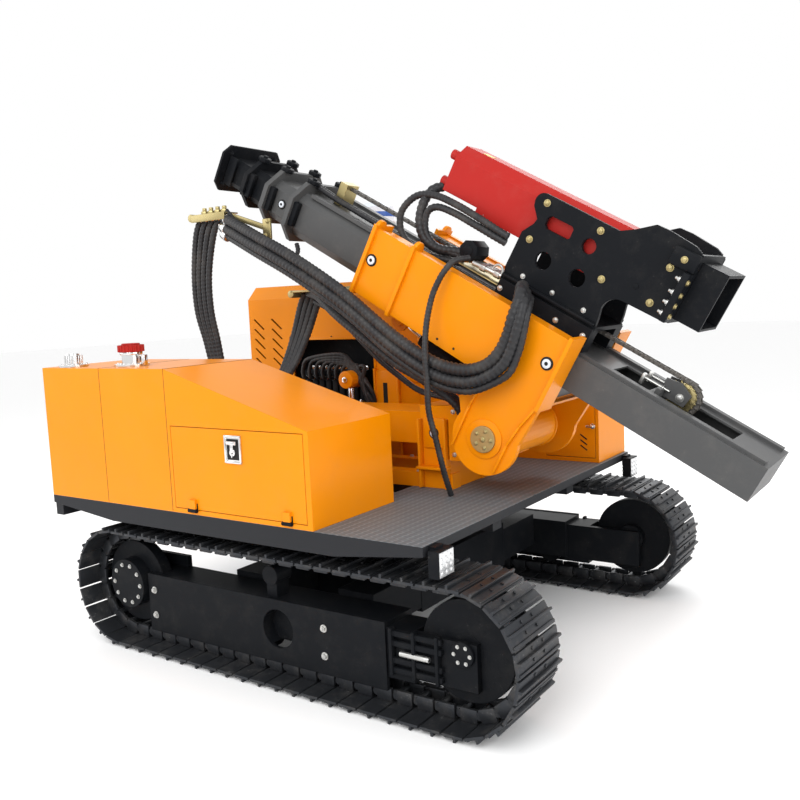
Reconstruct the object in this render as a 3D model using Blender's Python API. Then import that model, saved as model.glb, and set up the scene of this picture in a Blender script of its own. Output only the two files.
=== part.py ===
"""Crawler pile driver rig: slewing deck on tracks, sliding and tilting telescopic mast, hydraulic hammer.

Metres, +Z up, +X towards the mast's foot, ground at Z = 0. The slewing axis is the empty "slew_axis".
"""
import math

import bmesh
import bpy
from mathutils import Matrix, Vector

# ---------------------------------------------------------------- driving dimensions, metres
SEAT = 0.0003            # gap between pieces that touch
RUNNING = 0.0006         # radial clearance of a pin in its eye

# tracks and undercarriage
TRACK_GAUGE = 1.85       # between the track centres
TRACK_WIDTH = 0.35
TRACK_RADIUS = 0.31      # over the grousers
WHEEL_BASE = 1.97        # idler axle to sprocket axle
SHOE_COUNT = 57
GROUSER = 0.016
SHOE_PLATE = 0.014
CHAIN_DEPTH = 0.07
CHAIN_WIDTH = 0.10
FRAME_REAR, FRAME_FRONT = -0.845, 0.62
FRAME_LOW, FRAME_HIGH = 0.165, 0.374
FRAME_DEPTH = 0.185
FRAME_OUTSIDE = 0.075    # skirt's face beyond the track's middle
SKIRT = 0.015
SKIRT_LOW = 0.085
ROLLER_RADIUS = 0.06
ROLLER_COUNT = 5
CARRIER_RADIUS = 0.045
FORK_PLATE = 0.03
MOTOR_RADIUS = 0.125
BODY_HALF = 0.42
BODY_LOW, BODY_HIGH = 0.20, 0.44
CROSS_BEAM = 0.20
RING_RADIUS = 0.38
RING_HIGH = 0.53
TURNTABLE_RADIUS = 0.35
SWIVEL_RADIUS = 0.09

# deck
DECK_FRONT, DECK_REAR = 0.89, -1.43
DECK_WIDTH = 2.20
DECK_TOP = 0.752
DECK_PLATE = 0.036
DECK_BOTTOM = 0.66       # underside of the side beams
BEAM_WIDTH = 0.06
BEAM_END = 0.04          # depth of a side beam at its tips
OPENING_REAR, OPENING_FRONT = -0.40, 0.24
OPENING_HALF = 0.34
OPENING_CUT = 0.12
RUNNER_Y = 0.40          # centre of each beam over the turntable
RUNNER_WIDTH = 0.08

# cabinets
SHEET = 0.006
TANK_WIDTH = 0.583
FUEL_LENGTH = 0.46
OIL_LENGTH = 0.47
TANK_HEIGHT = 0.669
BOX_LENGTH = 0.853
BOX_FRONT_HEIGHT = 0.417
BOX_DOOR_HEIGHT = 0.385
DOOR_GAP = 0.003
HOOD_REAR, HOOD_FRONT = -1.343, -0.05
HOOD_NEAR = 0.35
HOOD_HEIGHT = 1.058
HOOD_CHAMFER = 0.08
CABINET_FRONT = 0.87
CABINET_NEAR = 0.71
CABINET_REAR_HEIGHT = 0.80
CABINET_FRONT_HEIGHT = 0.38

# mast base
PIVOT_X, PIVOT_Z = 0.74, 1.04
PIVOT_PIN = 0.05
BEAM_HALF = 0.14
BEAM_LOW, BEAM_HIGH = 0.965, 1.125
BEAM_REAR = -0.66
COLLAR_HALF = 0.185
COLLAR_TOP = 1.165
FRONT_COLLAR = (0.30, 0.465)
REAR_COLLAR = (-0.62, -0.50)
HEAD_REAR, HEAD_FRONT = 0.471, 0.70
HEAD_LOW, HEAD_HIGH = 0.90, 1.17
HEAD_HALF = 0.20
CYLINDER_BASE = (0.53, 1.225)    # X and Z of the lower cylinder pin
CYLINDER_PIN = 0.022
LUG_INNER, LUG_OUTER = 0.055, 0.073
EYE_HALF = 0.045
BARREL_RADIUS = 0.05
BARREL_BORE = 0.038
BARREL_LENGTH = 0.40
ROD_RADIUS = 0.026
ROD_START = 0.12
LUG = (-0.80, 0.165)             # upper cylinder pin, along and across the mast
LUG_PIN = 0.022

# mast; u runs from the pivot towards the foot, n away from the deck
MAST_ANGLE = 29.6
PLATE = 0.03                     # sleeve side plates
SLEEVE_HALF = 0.33
SLEEVE_LOW, SLEEVE_TOP = 0.26, 0.595
SLEEVE_REAR, SLEEVE_FRONT = -0.97, 0.17
RIB_AT = -0.735
RIB = 0.02
RIB_PROUD = 0.018
TEARDROP = 0.17
BOOM_HALF = 0.20
BOOM_LOW, BOOM_TOP = 0.285, 0.52
BOOM_CHAMFER = 0.045
BOOM_WALL = 0.008
BOOM_REAR, BOOM_FRONT = -1.60, 0.15
SECTION_STEP = 0.014             # a section's wall and clearance inside the one around it
SECTION_WALL = 0.007
COLLAR = 0.028
SECTION_REACH = (-1.80, -1.975, -2.17)
SECTION_INNER = (-0.35, -0.45, -0.55)
COLLAR_PROUD = 0.05
FOOT_LOW = 0.36
FOOT_FRONT = 1.075
FOOT_WALL = 0.010
STRIP = (0.16, 0.20)
STRIP_HEIGHT = 0.015
FOOT_SLOTS = ((0.31, 0.49), (0.53, 0.89))
SLOT_HALF = 0.09
SPROCKET_AT = 0.61
SPROCKET_N = 0.545
SPROCKET_RADIUS = 0.068
CHAIN = 0.020
CHAIN_HALF = 0.014
TAIL_AT = -1.42

# hammer
HAMMER_HALF = 0.165              # over the side plates
HAMMER_PLATE = 0.022
CARRIAGE_REAR, CARRIAGE_FRONT = -0.33, 0.175
CARRIAGE_TOP = 0.66
BREAKER_HALF = 0.125
BREAKER_LOW, BREAKER_TOP = 0.835, 1.09
BREAKER_REAR, BREAKER_FRONT = -0.83, 0.30
BREAKER_STEP = -0.62
BREAKER_CHAMFER = 0.055
FLANGE_AT = 0.428
FLANGE = 0.014
CAP_LENGTH = 0.12
CAP_WALL = 0.012
CAP_HALF = 0.13
CAP_LOW, CAP_TOP = 0.845, 1.10

# ---------------------------------------------------------------- worked out from those
TRACK_Y = TRACK_GAUGE / 2
WHEEL_X = WHEEL_BASE / 2
SHOE_INNER = TRACK_RADIUS - GROUSER - SHOE_PLATE
CHAIN_INNER = SHOE_INNER - CHAIN_DEPTH
WHEEL_RADIUS = CHAIN_INNER * math.cos(math.pi / 32) - SEAT    # inside the chain's flats
FRAME_OUT = TRACK_Y + FRAME_OUTSIDE
FRAME_IN = FRAME_OUT - SKIRT - FRAME_DEPTH
HALF = DECK_WIDTH / 2
FLOOR = DECK_TOP + SEAT
TANK_INNER = -HALF + TANK_WIDTH
FUEL_FRONT = DECK_REAR + FUEL_LENGTH
OIL_FRONT = FUEL_FRONT + OIL_LENGTH
BOX_FRONT = OIL_FRONT + BOX_LENGTH
TANK_TOP = DECK_TOP + TANK_HEIGHT
BOX_FRONT_TOP = DECK_TOP + BOX_FRONT_HEIGHT
HOOD_TOP = DECK_TOP + HOOD_HEIGHT
STRIP_TOP = BOOM_TOP + STRIP_HEIGHT
ANGLE = math.radians(MAST_ANGLE)
FOOT_TIP_X = PIVOT_X + FOOT_FRONT * math.cos(ANGLE) + BOOM_TOP * math.sin(ANGLE)
SHIFT_X = -(FOOT_TIP_X + DECK_REAR) / 2     # puts the origin under the middle of the whole rig


# ---------------------------------------------------------------- scene
for old in list(bpy.data.objects):
    bpy.data.objects.remove(old, do_unlink=True)


def new_collection(name):
    made = bpy.data.collections.new(name)
    bpy.context.scene.collection.children.link(made)
    return made


RIG = new_collection("pile_driver_rig")
CUTTERS = new_collection("cutters")


def paint(name, colour, roughness, metallic):
    made = bpy.data.materials.new(name)
    made.use_nodes = True
    shader = made.node_tree.nodes["Principled BSDF"]
    shader.inputs["Base Color"].default_value = (*colour, 1.0)
    shader.inputs["Roughness"].default_value = roughness
    shader.inputs["Metallic"].default_value = metallic
    return made


ORANGE = paint("orange_paint", (0.85, 0.33, 0.01), 0.35, 0.0)
BLACK = paint("black_paint", (0.02, 0.022, 0.028), 0.45, 0.0)
GREY = paint("grey_paint", (0.10, 0.10, 0.10), 0.45, 0.0)
STEEL = paint("worn_steel", (0.12, 0.12, 0.125), 0.5, 0.6)
RED = paint("red_paint", (0.55, 0.03, 0.02), 0.35, 0.0)
ZINC = paint("yellow_zinc", (0.55, 0.48, 0.28), 0.35, 0.8)
CHROME = paint("chrome", (0.75, 0.75, 0.75), 0.12, 1.0)
PLATE_STEEL = paint("tread_plate", (0.16, 0.16, 0.165), 0.5, 0.5)
WHITE = paint("white_plastic", (0.75, 0.78, 0.82), 0.3, 0.0)
RUBBER = paint("rubber", (0.015, 0.015, 0.016), 0.6, 0.0)


def empty(name, parent, place=(0, 0, 0), turn=(0, 0, 0)):
    made = bpy.data.objects.new(name, None)
    made.location = place
    made.rotation_euler = turn
    made.parent = parent
    RIG.objects.link(made)
    return made


def link(name, mesh, parent):
    made = bpy.data.objects.new(name, mesh)
    made.parent = parent
    RIG.objects.link(made)
    return made


def node(made, name, material):
    """Names a finished shape and gives it its paint."""
    made.name = name
    made.data.materials.clear()
    made.data.materials.append(material)
    return made


# ---------------------------------------------------------------- shapes
def box(parent, low, high):
    """A block between two corners."""
    mesh = bpy.data.meshes.new("box")
    shape = bmesh.new()
    bmesh.ops.create_cube(shape, size=1.0)
    size = [b - a for a, b in zip(low, high)]
    middle = [(a + b) / 2 for a, b in zip(low, high)]
    bmesh.ops.scale(shape, vec=size, verts=shape.verts)
    bmesh.ops.translate(shape, vec=middle, verts=shape.verts)
    shape.to_mesh(mesh)
    shape.free()
    return link("box", mesh, parent)


def rod(parent, start, end, radius, sides=24, end_radius=None):
    """A round bar, or a cone, between two points."""
    mesh = bpy.data.meshes.new("rod")
    shape = bmesh.new()
    line = Vector(end) - Vector(start)
    bmesh.ops.create_cone(shape, cap_ends=True, segments=sides, radius1=radius,
                          radius2=radius if end_radius is None else end_radius, depth=line.length)
    bmesh.ops.rotate(shape, matrix=line.to_track_quat("Z", "Y").to_matrix(), verts=shape.verts)
    bmesh.ops.translate(shape, vec=(Vector(start) + Vector(end)) / 2, verts=shape.verts)
    shape.to_mesh(mesh)
    shape.free()
    for face in mesh.polygons:
        face.use_smooth = len(face.vertices) == 4
    return link("rod", mesh, parent)


TURNS = {
    "Y": Matrix(((1, 0, 0), (0, 0, 1), (0, 1, 0))),     # outline in X and Z, thickness along Y
    "X": Matrix(((0, 0, 1), (1, 0, 0), (0, 1, 0))),     # outline in Y and Z, thickness along X
    "Z": Matrix(((1, 0, 0), (0, 1, 0), (0, 0, 1))),     # outline in X and Y, thickness along Z
}


def slab(parent, normal, low, high, outline, holes=()):
    """A flat outline with holes, from low to high along its normal."""
    curve = bpy.data.curves.new("outline", "CURVE")
    curve.dimensions = "2D"
    curve.fill_mode = "BOTH"
    curve.extrude = (high - low) / 2
    for ring in (outline, *holes):
        spline = curve.splines.new("POLY")
        spline.points.add(len(ring) - 1)
        for point, (a, b) in zip(spline.points, ring):
            point.co = (a, b, 0, 1)
        spline.use_cyclic_u = True
    carrier = bpy.data.objects.new("outline", curve)
    RIG.objects.link(carrier)
    bpy.context.view_layer.update()
    mesh = bpy.data.meshes.new_from_object(carrier.evaluated_get(bpy.context.evaluated_depsgraph_get()))
    bpy.data.objects.remove(carrier, do_unlink=True)
    shape = bmesh.new()
    shape.from_mesh(mesh)
    bmesh.ops.remove_doubles(shape, verts=shape.verts, dist=0.00001)
    middle = (low + high) / 2
    for vert in shape.verts:
        vert.co = TURNS[normal] @ (vert.co + Vector((0, 0, middle)))
    bmesh.ops.recalc_face_normals(shape, faces=shape.faces)
    if shape.calc_volume(signed=True) < 0:
        bmesh.ops.reverse_faces(shape, faces=shape.faces)
    shape.to_mesh(mesh)
    shape.free()
    return link("slab", mesh, parent)


def combine(target, tool, operation):
    """Joins the tool to the target, or cuts it away, with a Boolean modifier."""
    change = target.modifiers.new(operation.lower(), "BOOLEAN")
    change.operation = operation
    change.object = tool
    change.solver = "EXACT"
    RIG.objects.unlink(tool)
    CUTTERS.objects.link(tool)
    tool.name = "cutter"
    tool.hide_render = True
    tool.display_type = "WIRE"
    return target


def join(target, *tools):
    for tool in tools:
        combine(target, tool, "UNION")
    return target


def cut(target, *tools):
    for tool in tools:
        combine(target, tool, "DIFFERENCE")
    return target


def arc(centre, radius, start, end, steps):
    """Points on an arc, angles in degrees, both ends included."""
    turn = [math.radians(start + (end - start) * i / steps) for i in range(steps + 1)]
    return [(centre[0] + radius * math.cos(a), centre[1] + radius * math.sin(a)) for a in turn]


def ring(centre, radius, steps=24):
    return arc(centre, radius, 0, 360 * (1 - 1 / steps), steps - 1)


def chamfered(half, low, high, chamfer):
    """An upright section, wide along Y, with its corners cut."""
    return [(-half + chamfer, low), (half - chamfer, low), (half, low + chamfer), (half, high - chamfer),
            (half - chamfer, high), (-half + chamfer, high), (-half, high - chamfer), (-half, low + chamfer)]


def mirrored(side, low, high):
    """A Y span given for the +Y side, moved to the side asked for."""
    return (low, high) if side > 0 else (-high, -low)


# ---------------------------------------------------------------- the chain of frames the rig moves in
machine = empty("machine", None, (SHIFT_X, 0, 0))
slew = empty("slew_axis", machine)
beam_slide = empty("beam_slide", slew)
mast = empty("mast_pivot", beam_slide, (PIVOT_X, 0, PIVOT_Z), (0, ANGLE, 0))
boom_slide = empty("boom_slide", mast)
hammer_slide = empty("hammer_slide", boom_slide)


# ---------------------------------------------------------------- undercarriage
def loop(radius, half):
    """Outline of a belt round two wheels, worked round clockwise from the rear of the top run."""
    return (arc((half, TRACK_RADIUS), radius, 90, -90, 16) + arc((-half, TRACK_RADIUS), radius, -90, -270, 16))


def shoe_outline():
    """The belt's outer edge with one grouser on each shoe."""
    radius = TRACK_RADIUS - GROUSER
    straight = WHEEL_BASE
    bend = math.pi * radius
    total = 2 * (straight + bend)

    def at(run, lift):
        run %= total
        if run < straight:
            return (-WHEEL_X + run, TRACK_RADIUS + radius + lift)
        run -= straight
        if run < bend:
            turn = math.pi / 2 - run / radius
            return (WHEEL_X + (radius + lift) * math.cos(turn), TRACK_RADIUS + (radius + lift) * math.sin(turn))
        run -= bend
        if run < straight:
            return (WHEEL_X - run, TRACK_RADIUS - radius - lift)
        turn = -math.pi / 2 - (run - straight) / radius
        return (-WHEEL_X + (radius + lift) * math.cos(turn), TRACK_RADIUS + (radius + lift) * math.sin(turn))

    pitch = total / SHOE_COUNT
    points = []
    for shoe in range(SHOE_COUNT):
        for share, lift in ((0.30, 0.0), (0.38, GROUSER), (0.56, GROUSER), (0.64, 0.0)):
            points.append(at((shoe + share) * pitch, lift))
    return points


def build_track(name, side):
    low, high = mirrored(side, TRACK_Y - TRACK_WIDTH / 2, TRACK_Y + TRACK_WIDTH / 2)
    belt = slab(machine, "Y", low, high, shoe_outline(), [loop(SHOE_INNER, WHEEL_X)])
    low, high = mirrored(side, TRACK_Y - CHAIN_WIDTH / 2, TRACK_Y + CHAIN_WIDTH / 2)
    chain = slab(machine, "Y", low, high, loop(SHOE_INNER + 0.004, WHEEL_X), [loop(CHAIN_INNER, WHEEL_X)])
    return node(join(belt, chain), name, STEEL)


def build_track_frame(name, side):
    out, inside = FRAME_OUT, FRAME_IN
    low, high = mirrored(side, inside, out - SKIRT)
    frame = box(machine, (FRAME_REAR, low, FRAME_LOW), (FRAME_FRONT, high, FRAME_HIGH))
    low, high = mirrored(side, out - SKIRT - 0.002, out)
    skirt = box(machine, (FRAME_REAR, low, SKIRT_LOW), (FRAME_FRONT, high, FRAME_HIGH + 0.004))
    low, high = mirrored(side, out - 0.07, out + 0.01)
    hole = rod(machine, (-0.03 + 0.055, low, 0.243), (-0.03 + 0.055, high, 0.243), 0.09)
    join(frame, skirt)
    # solid yoke, then a fork with a plate each side of the idler
    low, high = mirrored(side, inside + 0.02, out - 0.012)
    join(frame, box(machine, (FRAME_FRONT - 0.02, low, 0.14), (FRAME_FRONT + 0.13, high, FRAME_HIGH - 0.02)))
    for edge in (inside + 0.02, out - 0.012 - FORK_PLATE):
        low, high = mirrored(side, edge, edge + FORK_PLATE)
        join(frame, box(machine, (FRAME_FRONT + 0.10, low, 0.16), (WHEEL_X + 0.06, high, FRAME_HIGH - 0.02)))
    # motor bracket at the rear
    low, high = mirrored(side, inside - 0.006, inside + 0.02)
    join(frame, box(machine, (-WHEEL_X - 0.12, low, 0.19), (FRAME_REAR + 0.10, high, 0.43)))
    # rollers under the frame and one on top
    low, high = mirrored(side, TRACK_Y - CHAIN_WIDTH / 2, TRACK_Y + CHAIN_WIDTH / 2)
    chain_top = TRACK_RADIUS - CHAIN_INNER
    for index in range(ROLLER_COUNT):
        along = FRAME_REAR + 0.14 + index * (FRAME_FRONT - FRAME_REAR - 0.28) / (ROLLER_COUNT - 1)
        height = chain_top + ROLLER_RADIUS + SEAT
        join(frame, rod(machine, (along, low, height), (along, high, height), ROLLER_RADIUS, 20))
    height = TRACK_RADIUS + CHAIN_INNER - CARRIER_RADIUS - SEAT
    join(frame, box(machine, (-0.06, low + 0.01, FRAME_HIGH - 0.01), (0.0, high - 0.01, height)))
    join(frame, rod(machine, (-0.03, low, height), (-0.03, high, height), CARRIER_RADIUS, 20))
    # room for the sprocket's teeth in the rear of the frame
    low, high = mirrored(side, TRACK_Y - 0.036, TRACK_Y + 0.036)
    room = rod(machine, (-WHEEL_X, low, TRACK_RADIUS), (-WHEEL_X, high, TRACK_RADIUS), CHAIN_INNER + 0.006, 40)
    cut(frame, hole, room)
    return node(frame, name, BLACK)


def build_idler(name, side):
    low, high = mirrored(side, TRACK_Y - 0.03, TRACK_Y + 0.03)
    wheel = rod(machine, (WHEEL_X, low, TRACK_RADIUS), (WHEEL_X, high, TRACK_RADIUS), WHEEL_RADIUS, 40)
    low, high = mirrored(side, FRAME_IN + 0.02 + FORK_PLATE + SEAT, FRAME_OUT - 0.012 - FORK_PLATE - SEAT)
    join(wheel, rod(machine, (WHEEL_X, low, TRACK_RADIUS), (WHEEL_X, high, TRACK_RADIUS), 0.07, 24))
    return node(wheel, name, BLACK)


def build_sprocket(name, side):
    low, high = mirrored(side, TRACK_Y - 0.03, TRACK_Y + 0.03)
    wheel = rod(machine, (-WHEEL_X, low, TRACK_RADIUS), (-WHEEL_X, high, TRACK_RADIUS), WHEEL_RADIUS, 40)
    low, high = mirrored(side, FRAME_IN + 0.02 + SEAT, FRAME_OUT + 0.02)
    join(wheel, rod(machine, (-WHEEL_X, low, TRACK_RADIUS), (-WHEEL_X, high, TRACK_RADIUS), MOTOR_RADIUS, 32))
    return node(wheel, name, BLACK)


def build_undercarriage():
    centre = box(machine, (-BODY_HALF, -BODY_HALF, BODY_LOW), (BODY_HALF, BODY_HALF, BODY_HIGH))
    for along in (-BODY_HALF, BODY_HALF - CROSS_BEAM):
        reach = FRAME_IN - SEAT
        join(centre, box(machine, (along + 0.002, -reach, BODY_LOW + 0.02), (along + CROSS_BEAM - 0.002, reach, 0.40)))
    node(centre, "car_body", BLACK)
    lower = rod(machine, (0, 0, BODY_HIGH + SEAT), (0, 0, RING_HIGH), RING_RADIUS, 48)
    swivel = rod(machine, (0, 0, BODY_HIGH - 0.05), (0, 0, RING_HIGH + 0.01), SWIVEL_RADIUS + SEAT, 24)
    node(cut(lower, swivel), "slewing_bearing", BLACK)
    node(rod(machine, (0, 0, BODY_HIGH + SEAT), (0, 0, DECK_TOP - 0.06), SWIVEL_RADIUS, 24), "swivel", BLACK)
    for label, side in (("right", -1), ("left", 1)):
        build_track("track_" + label, side)
        build_track_frame("track_frame_" + label, side)
        build_idler("idler_" + label, side)
        build_sprocket("drive_sprocket_" + label, side)


# ---------------------------------------------------------------- deck
def build_deck():
    rear, front = OPENING_REAR, OPENING_FRONT
    c = OPENING_CUT
    opening = [(rear, -OPENING_HALF), (front, -OPENING_HALF), (front, -OPENING_HALF + 2 * c), (front - c, OPENING_HALF),
               (rear, OPENING_HALF)]
    edge = [(DECK_REAR, -HALF), (DECK_FRONT, -HALF), (DECK_FRONT, HALF), (DECK_REAR, HALF)]
    deck = slab(slew, "Z", DECK_TOP - DECK_PLATE, DECK_TOP, edge, [opening])
    under = DECK_TOP - 0.002
    profile = [(DECK_REAR, under), (DECK_REAR, DECK_TOP - BEAM_END), (DECK_REAR + 0.10, DECK_TOP - BEAM_END - 0.012),
               (DECK_REAR + 0.48, DECK_BOTTOM), (DECK_FRONT - 0.44, DECK_BOTTOM),
               (DECK_FRONT, DECK_TOP - BEAM_END), (DECK_FRONT, under)]
    for side in (-1, 1):
        low, high = mirrored(side, HALF - BEAM_WIDTH, HALF)
        join(deck, slab(slew, "Y", low, high, profile))
        low, high = mirrored(side, RUNNER_Y - RUNNER_WIDTH / 2, RUNNER_Y + RUNNER_WIDTH / 2)
        join(deck, box(slew, (DECK_REAR + 0.02, low, 0.645), (DECK_FRONT - 0.06, high, under)))
    join(deck, box(slew, (DECK_REAR, -HALF + 0.01, 0.645), (DECK_REAR + 0.06, HALF - 0.01, under)))
    join(deck, box(slew, (DECK_FRONT - 0.05, -HALF + 0.01, DECK_TOP - BEAM_END), (DECK_FRONT - 0.001, HALF - 0.01, under)))
    node(deck, "deck", PLATE_STEEL)

    table = rod(slew, (0, 0, RING_HIGH + SEAT), (0, 0, 0.645 - SEAT), TURNTABLE_RADIUS, 48)
    cut(table, rod(slew, (0, 0, RING_HIGH - 0.1), (0, 0, DECK_TOP), SWIVEL_RADIUS + 0.02, 24))
    for side in (-1, 1):
        low, high = mirrored(side, TURNTABLE_RADIUS - 0.08, RUNNER_Y + RUNNER_WIDTH / 2)
        join(table, box(slew, (-0.25, low, 0.60), (0.25, high, 0.645 - SEAT)))
    node(table, "turntable", BLACK)

    for label, side in (("right", -1), ("left", 1)):
        low, high = mirrored(side, 0.975, 1.085)
        lamp = box(slew, (DECK_FRONT + 0.012, low, TRACK_RADIUS * 2 + 0.008), (DECK_FRONT + 0.06, high, 0.735))
        low, high = mirrored(side, 1.00, 1.06)
        join(lamp, box(slew, (DECK_FRONT + SEAT, low, 0.69), (DECK_FRONT + 0.03, high, DECK_TOP - 0.006)))
        node(lamp, "work_lamp_" + label, BLACK)


# ---------------------------------------------------------------- tanks and tool box
def build_tanks():
    node(box(slew, (DECK_REAR, -HALF, FLOOR), (FUEL_FRONT - SEAT, TANK_INNER, TANK_TOP)), "fuel_tank", ORANGE)
    node(box(slew, (FUEL_FRONT, -HALF, FLOOR), (OIL_FRONT - SEAT, TANK_INNER, TANK_TOP)), "oil_tank", ORANGE)
    base = TANK_TOP + SEAT
    fuel = (FUEL_FRONT - 0.31, -HALF + 0.085)
    cap = rod(slew, (*fuel, base), (*fuel, base + 0.012), 0.075, 24)
    node(join(cap, rod(slew, (*fuel, base + 0.01), (*fuel, base + 0.06), 0.042, 24)), "fuel_cap", CHROME)
    oil = (OIL_FRONT - 0.40, -HALF + 0.15)
    neck = rod(slew, (*oil, base), (*oil, base + 0.012), 0.085, 24)
    join(neck, rod(slew, (*oil, base + 0.01), (*oil, base + 0.07), 0.048, 24))
    node(neck, "breather_neck", CHROME)
    node(rod(slew, (*oil, base + 0.07 + SEAT), (*oil, base + 0.105), 0.06, 24), "breather_cap", RED)


DOOR_REAR, DOOR_FRONT = OIL_FRONT + 0.022, BOX_FRONT - 0.028
DOOR_LOW = DECK_TOP + 0.022
DOOR_HIGH = DOOR_LOW + BOX_DOOR_HEIGHT
HINGE_RADIUS = 0.009
HINGE_OUT = 0.0098               # hinge line in front of the sheet
door_hinge = empty("toolbox_hinge", slew, (0, -HALF - HINGE_OUT, DOOR_LOW - 0.001))


def build_tool_box():
    side = [(OIL_FRONT, FLOOR), (BOX_FRONT, FLOOR), (BOX_FRONT, BOX_FRONT_TOP), (OIL_FRONT, TANK_TOP)]
    shell = slab(slew, "Y", -HALF, TANK_INNER, side)
    drop = SHEET * 1.03
    inner = [(OIL_FRONT + SHEET, FLOOR + SHEET), (BOX_FRONT - SHEET, FLOOR + SHEET),
             (BOX_FRONT - SHEET, BOX_FRONT_TOP - drop), (OIL_FRONT + SHEET, TANK_TOP - drop)]
    cut(shell, slab(slew, "Y", -HALF + SHEET, TANK_INNER - SHEET, inner))
    cut(shell, box(slew, (DOOR_REAR, -HALF - 0.01, DOOR_LOW), (DOOR_FRONT, -HALF + SHEET * 2, DOOR_HIGH)))
    node(shell, "tool_box", ORANGE)

    at = door_hinge.location
    g = DOOR_GAP
    door = box(door_hinge, (DOOR_REAR + g, -HALF - at.y, DOOR_LOW + g - at.z),
               (DOOR_FRONT - g, -HALF + SHEET - at.y, DOOR_HIGH - g - at.z))
    for along in (DOOR_REAR + 0.10, DOOR_FRONT - 0.13):
        join(door, rod(door_hinge, (along, 0, 0), (along + 0.05, 0, 0), HINGE_RADIUS, 12))
        join(door, box(door_hinge, (along + 0.005, -0.004, 0.0055), (along + 0.045, HINGE_OUT + 0.003, 0.05)))
    node(door, "tool_box_door", ORANGE)
    latch_x = (DOOR_REAR + DOOR_FRONT) / 2
    latch = box(door_hinge, (latch_x - 0.05, -HALF - 0.016 - at.y, DOOR_HIGH - 0.15 - at.z),
                (latch_x + 0.05, -HALF - SEAT - at.y, DOOR_HIGH - 0.025 - at.z))
    node(latch, "tool_box_latch", CHROME)


# ---------------------------------------------------------------- engine hood and front cabinet
ENGINE_DOOR = (-1.15, -0.30, 0.80, 1.62)     # X from, X to, Z from, Z to
engine_hinge = empty("engine_door_hinge", slew, (ENGINE_DOOR[0] - 0.001, HALF + HINGE_OUT, 0))
CABINET_DOOR = (0.555, 0.852, 0.775, 1.085)
cabinet_hinge = empty("cabinet_door_hinge", slew, (CABINET_DOOR[0] - 0.001, CABINET_NEAR - HINGE_OUT, 0))


def side_door(name, hinge, span, face, side):
    """A sheet door on an upright hinge, in a cut on the side wall at Y = face."""
    g = DOOR_GAP
    rear, front, low, high = span
    at = hinge.location
    wall = sorted((face - at.y, face - side * SHEET - at.y))
    door = box(hinge, (rear + g - at.x, wall[0], low + g), (front - g - at.x, wall[1], high - g))
    for height in (low + 0.12 * (high - low), low + 0.78 * (high - low)):
        join(door, rod(hinge, (0, 0, height), (0, 0, height + 0.05), HINGE_RADIUS, 12))
        ends = sorted((0.004 * side, face - at.y - side * 0.003))
        join(door, box(hinge, (0.0055, ends[0], height + 0.005), (0.05, ends[1], height + 0.045)))
    return node(door, name, ORANGE)


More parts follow.
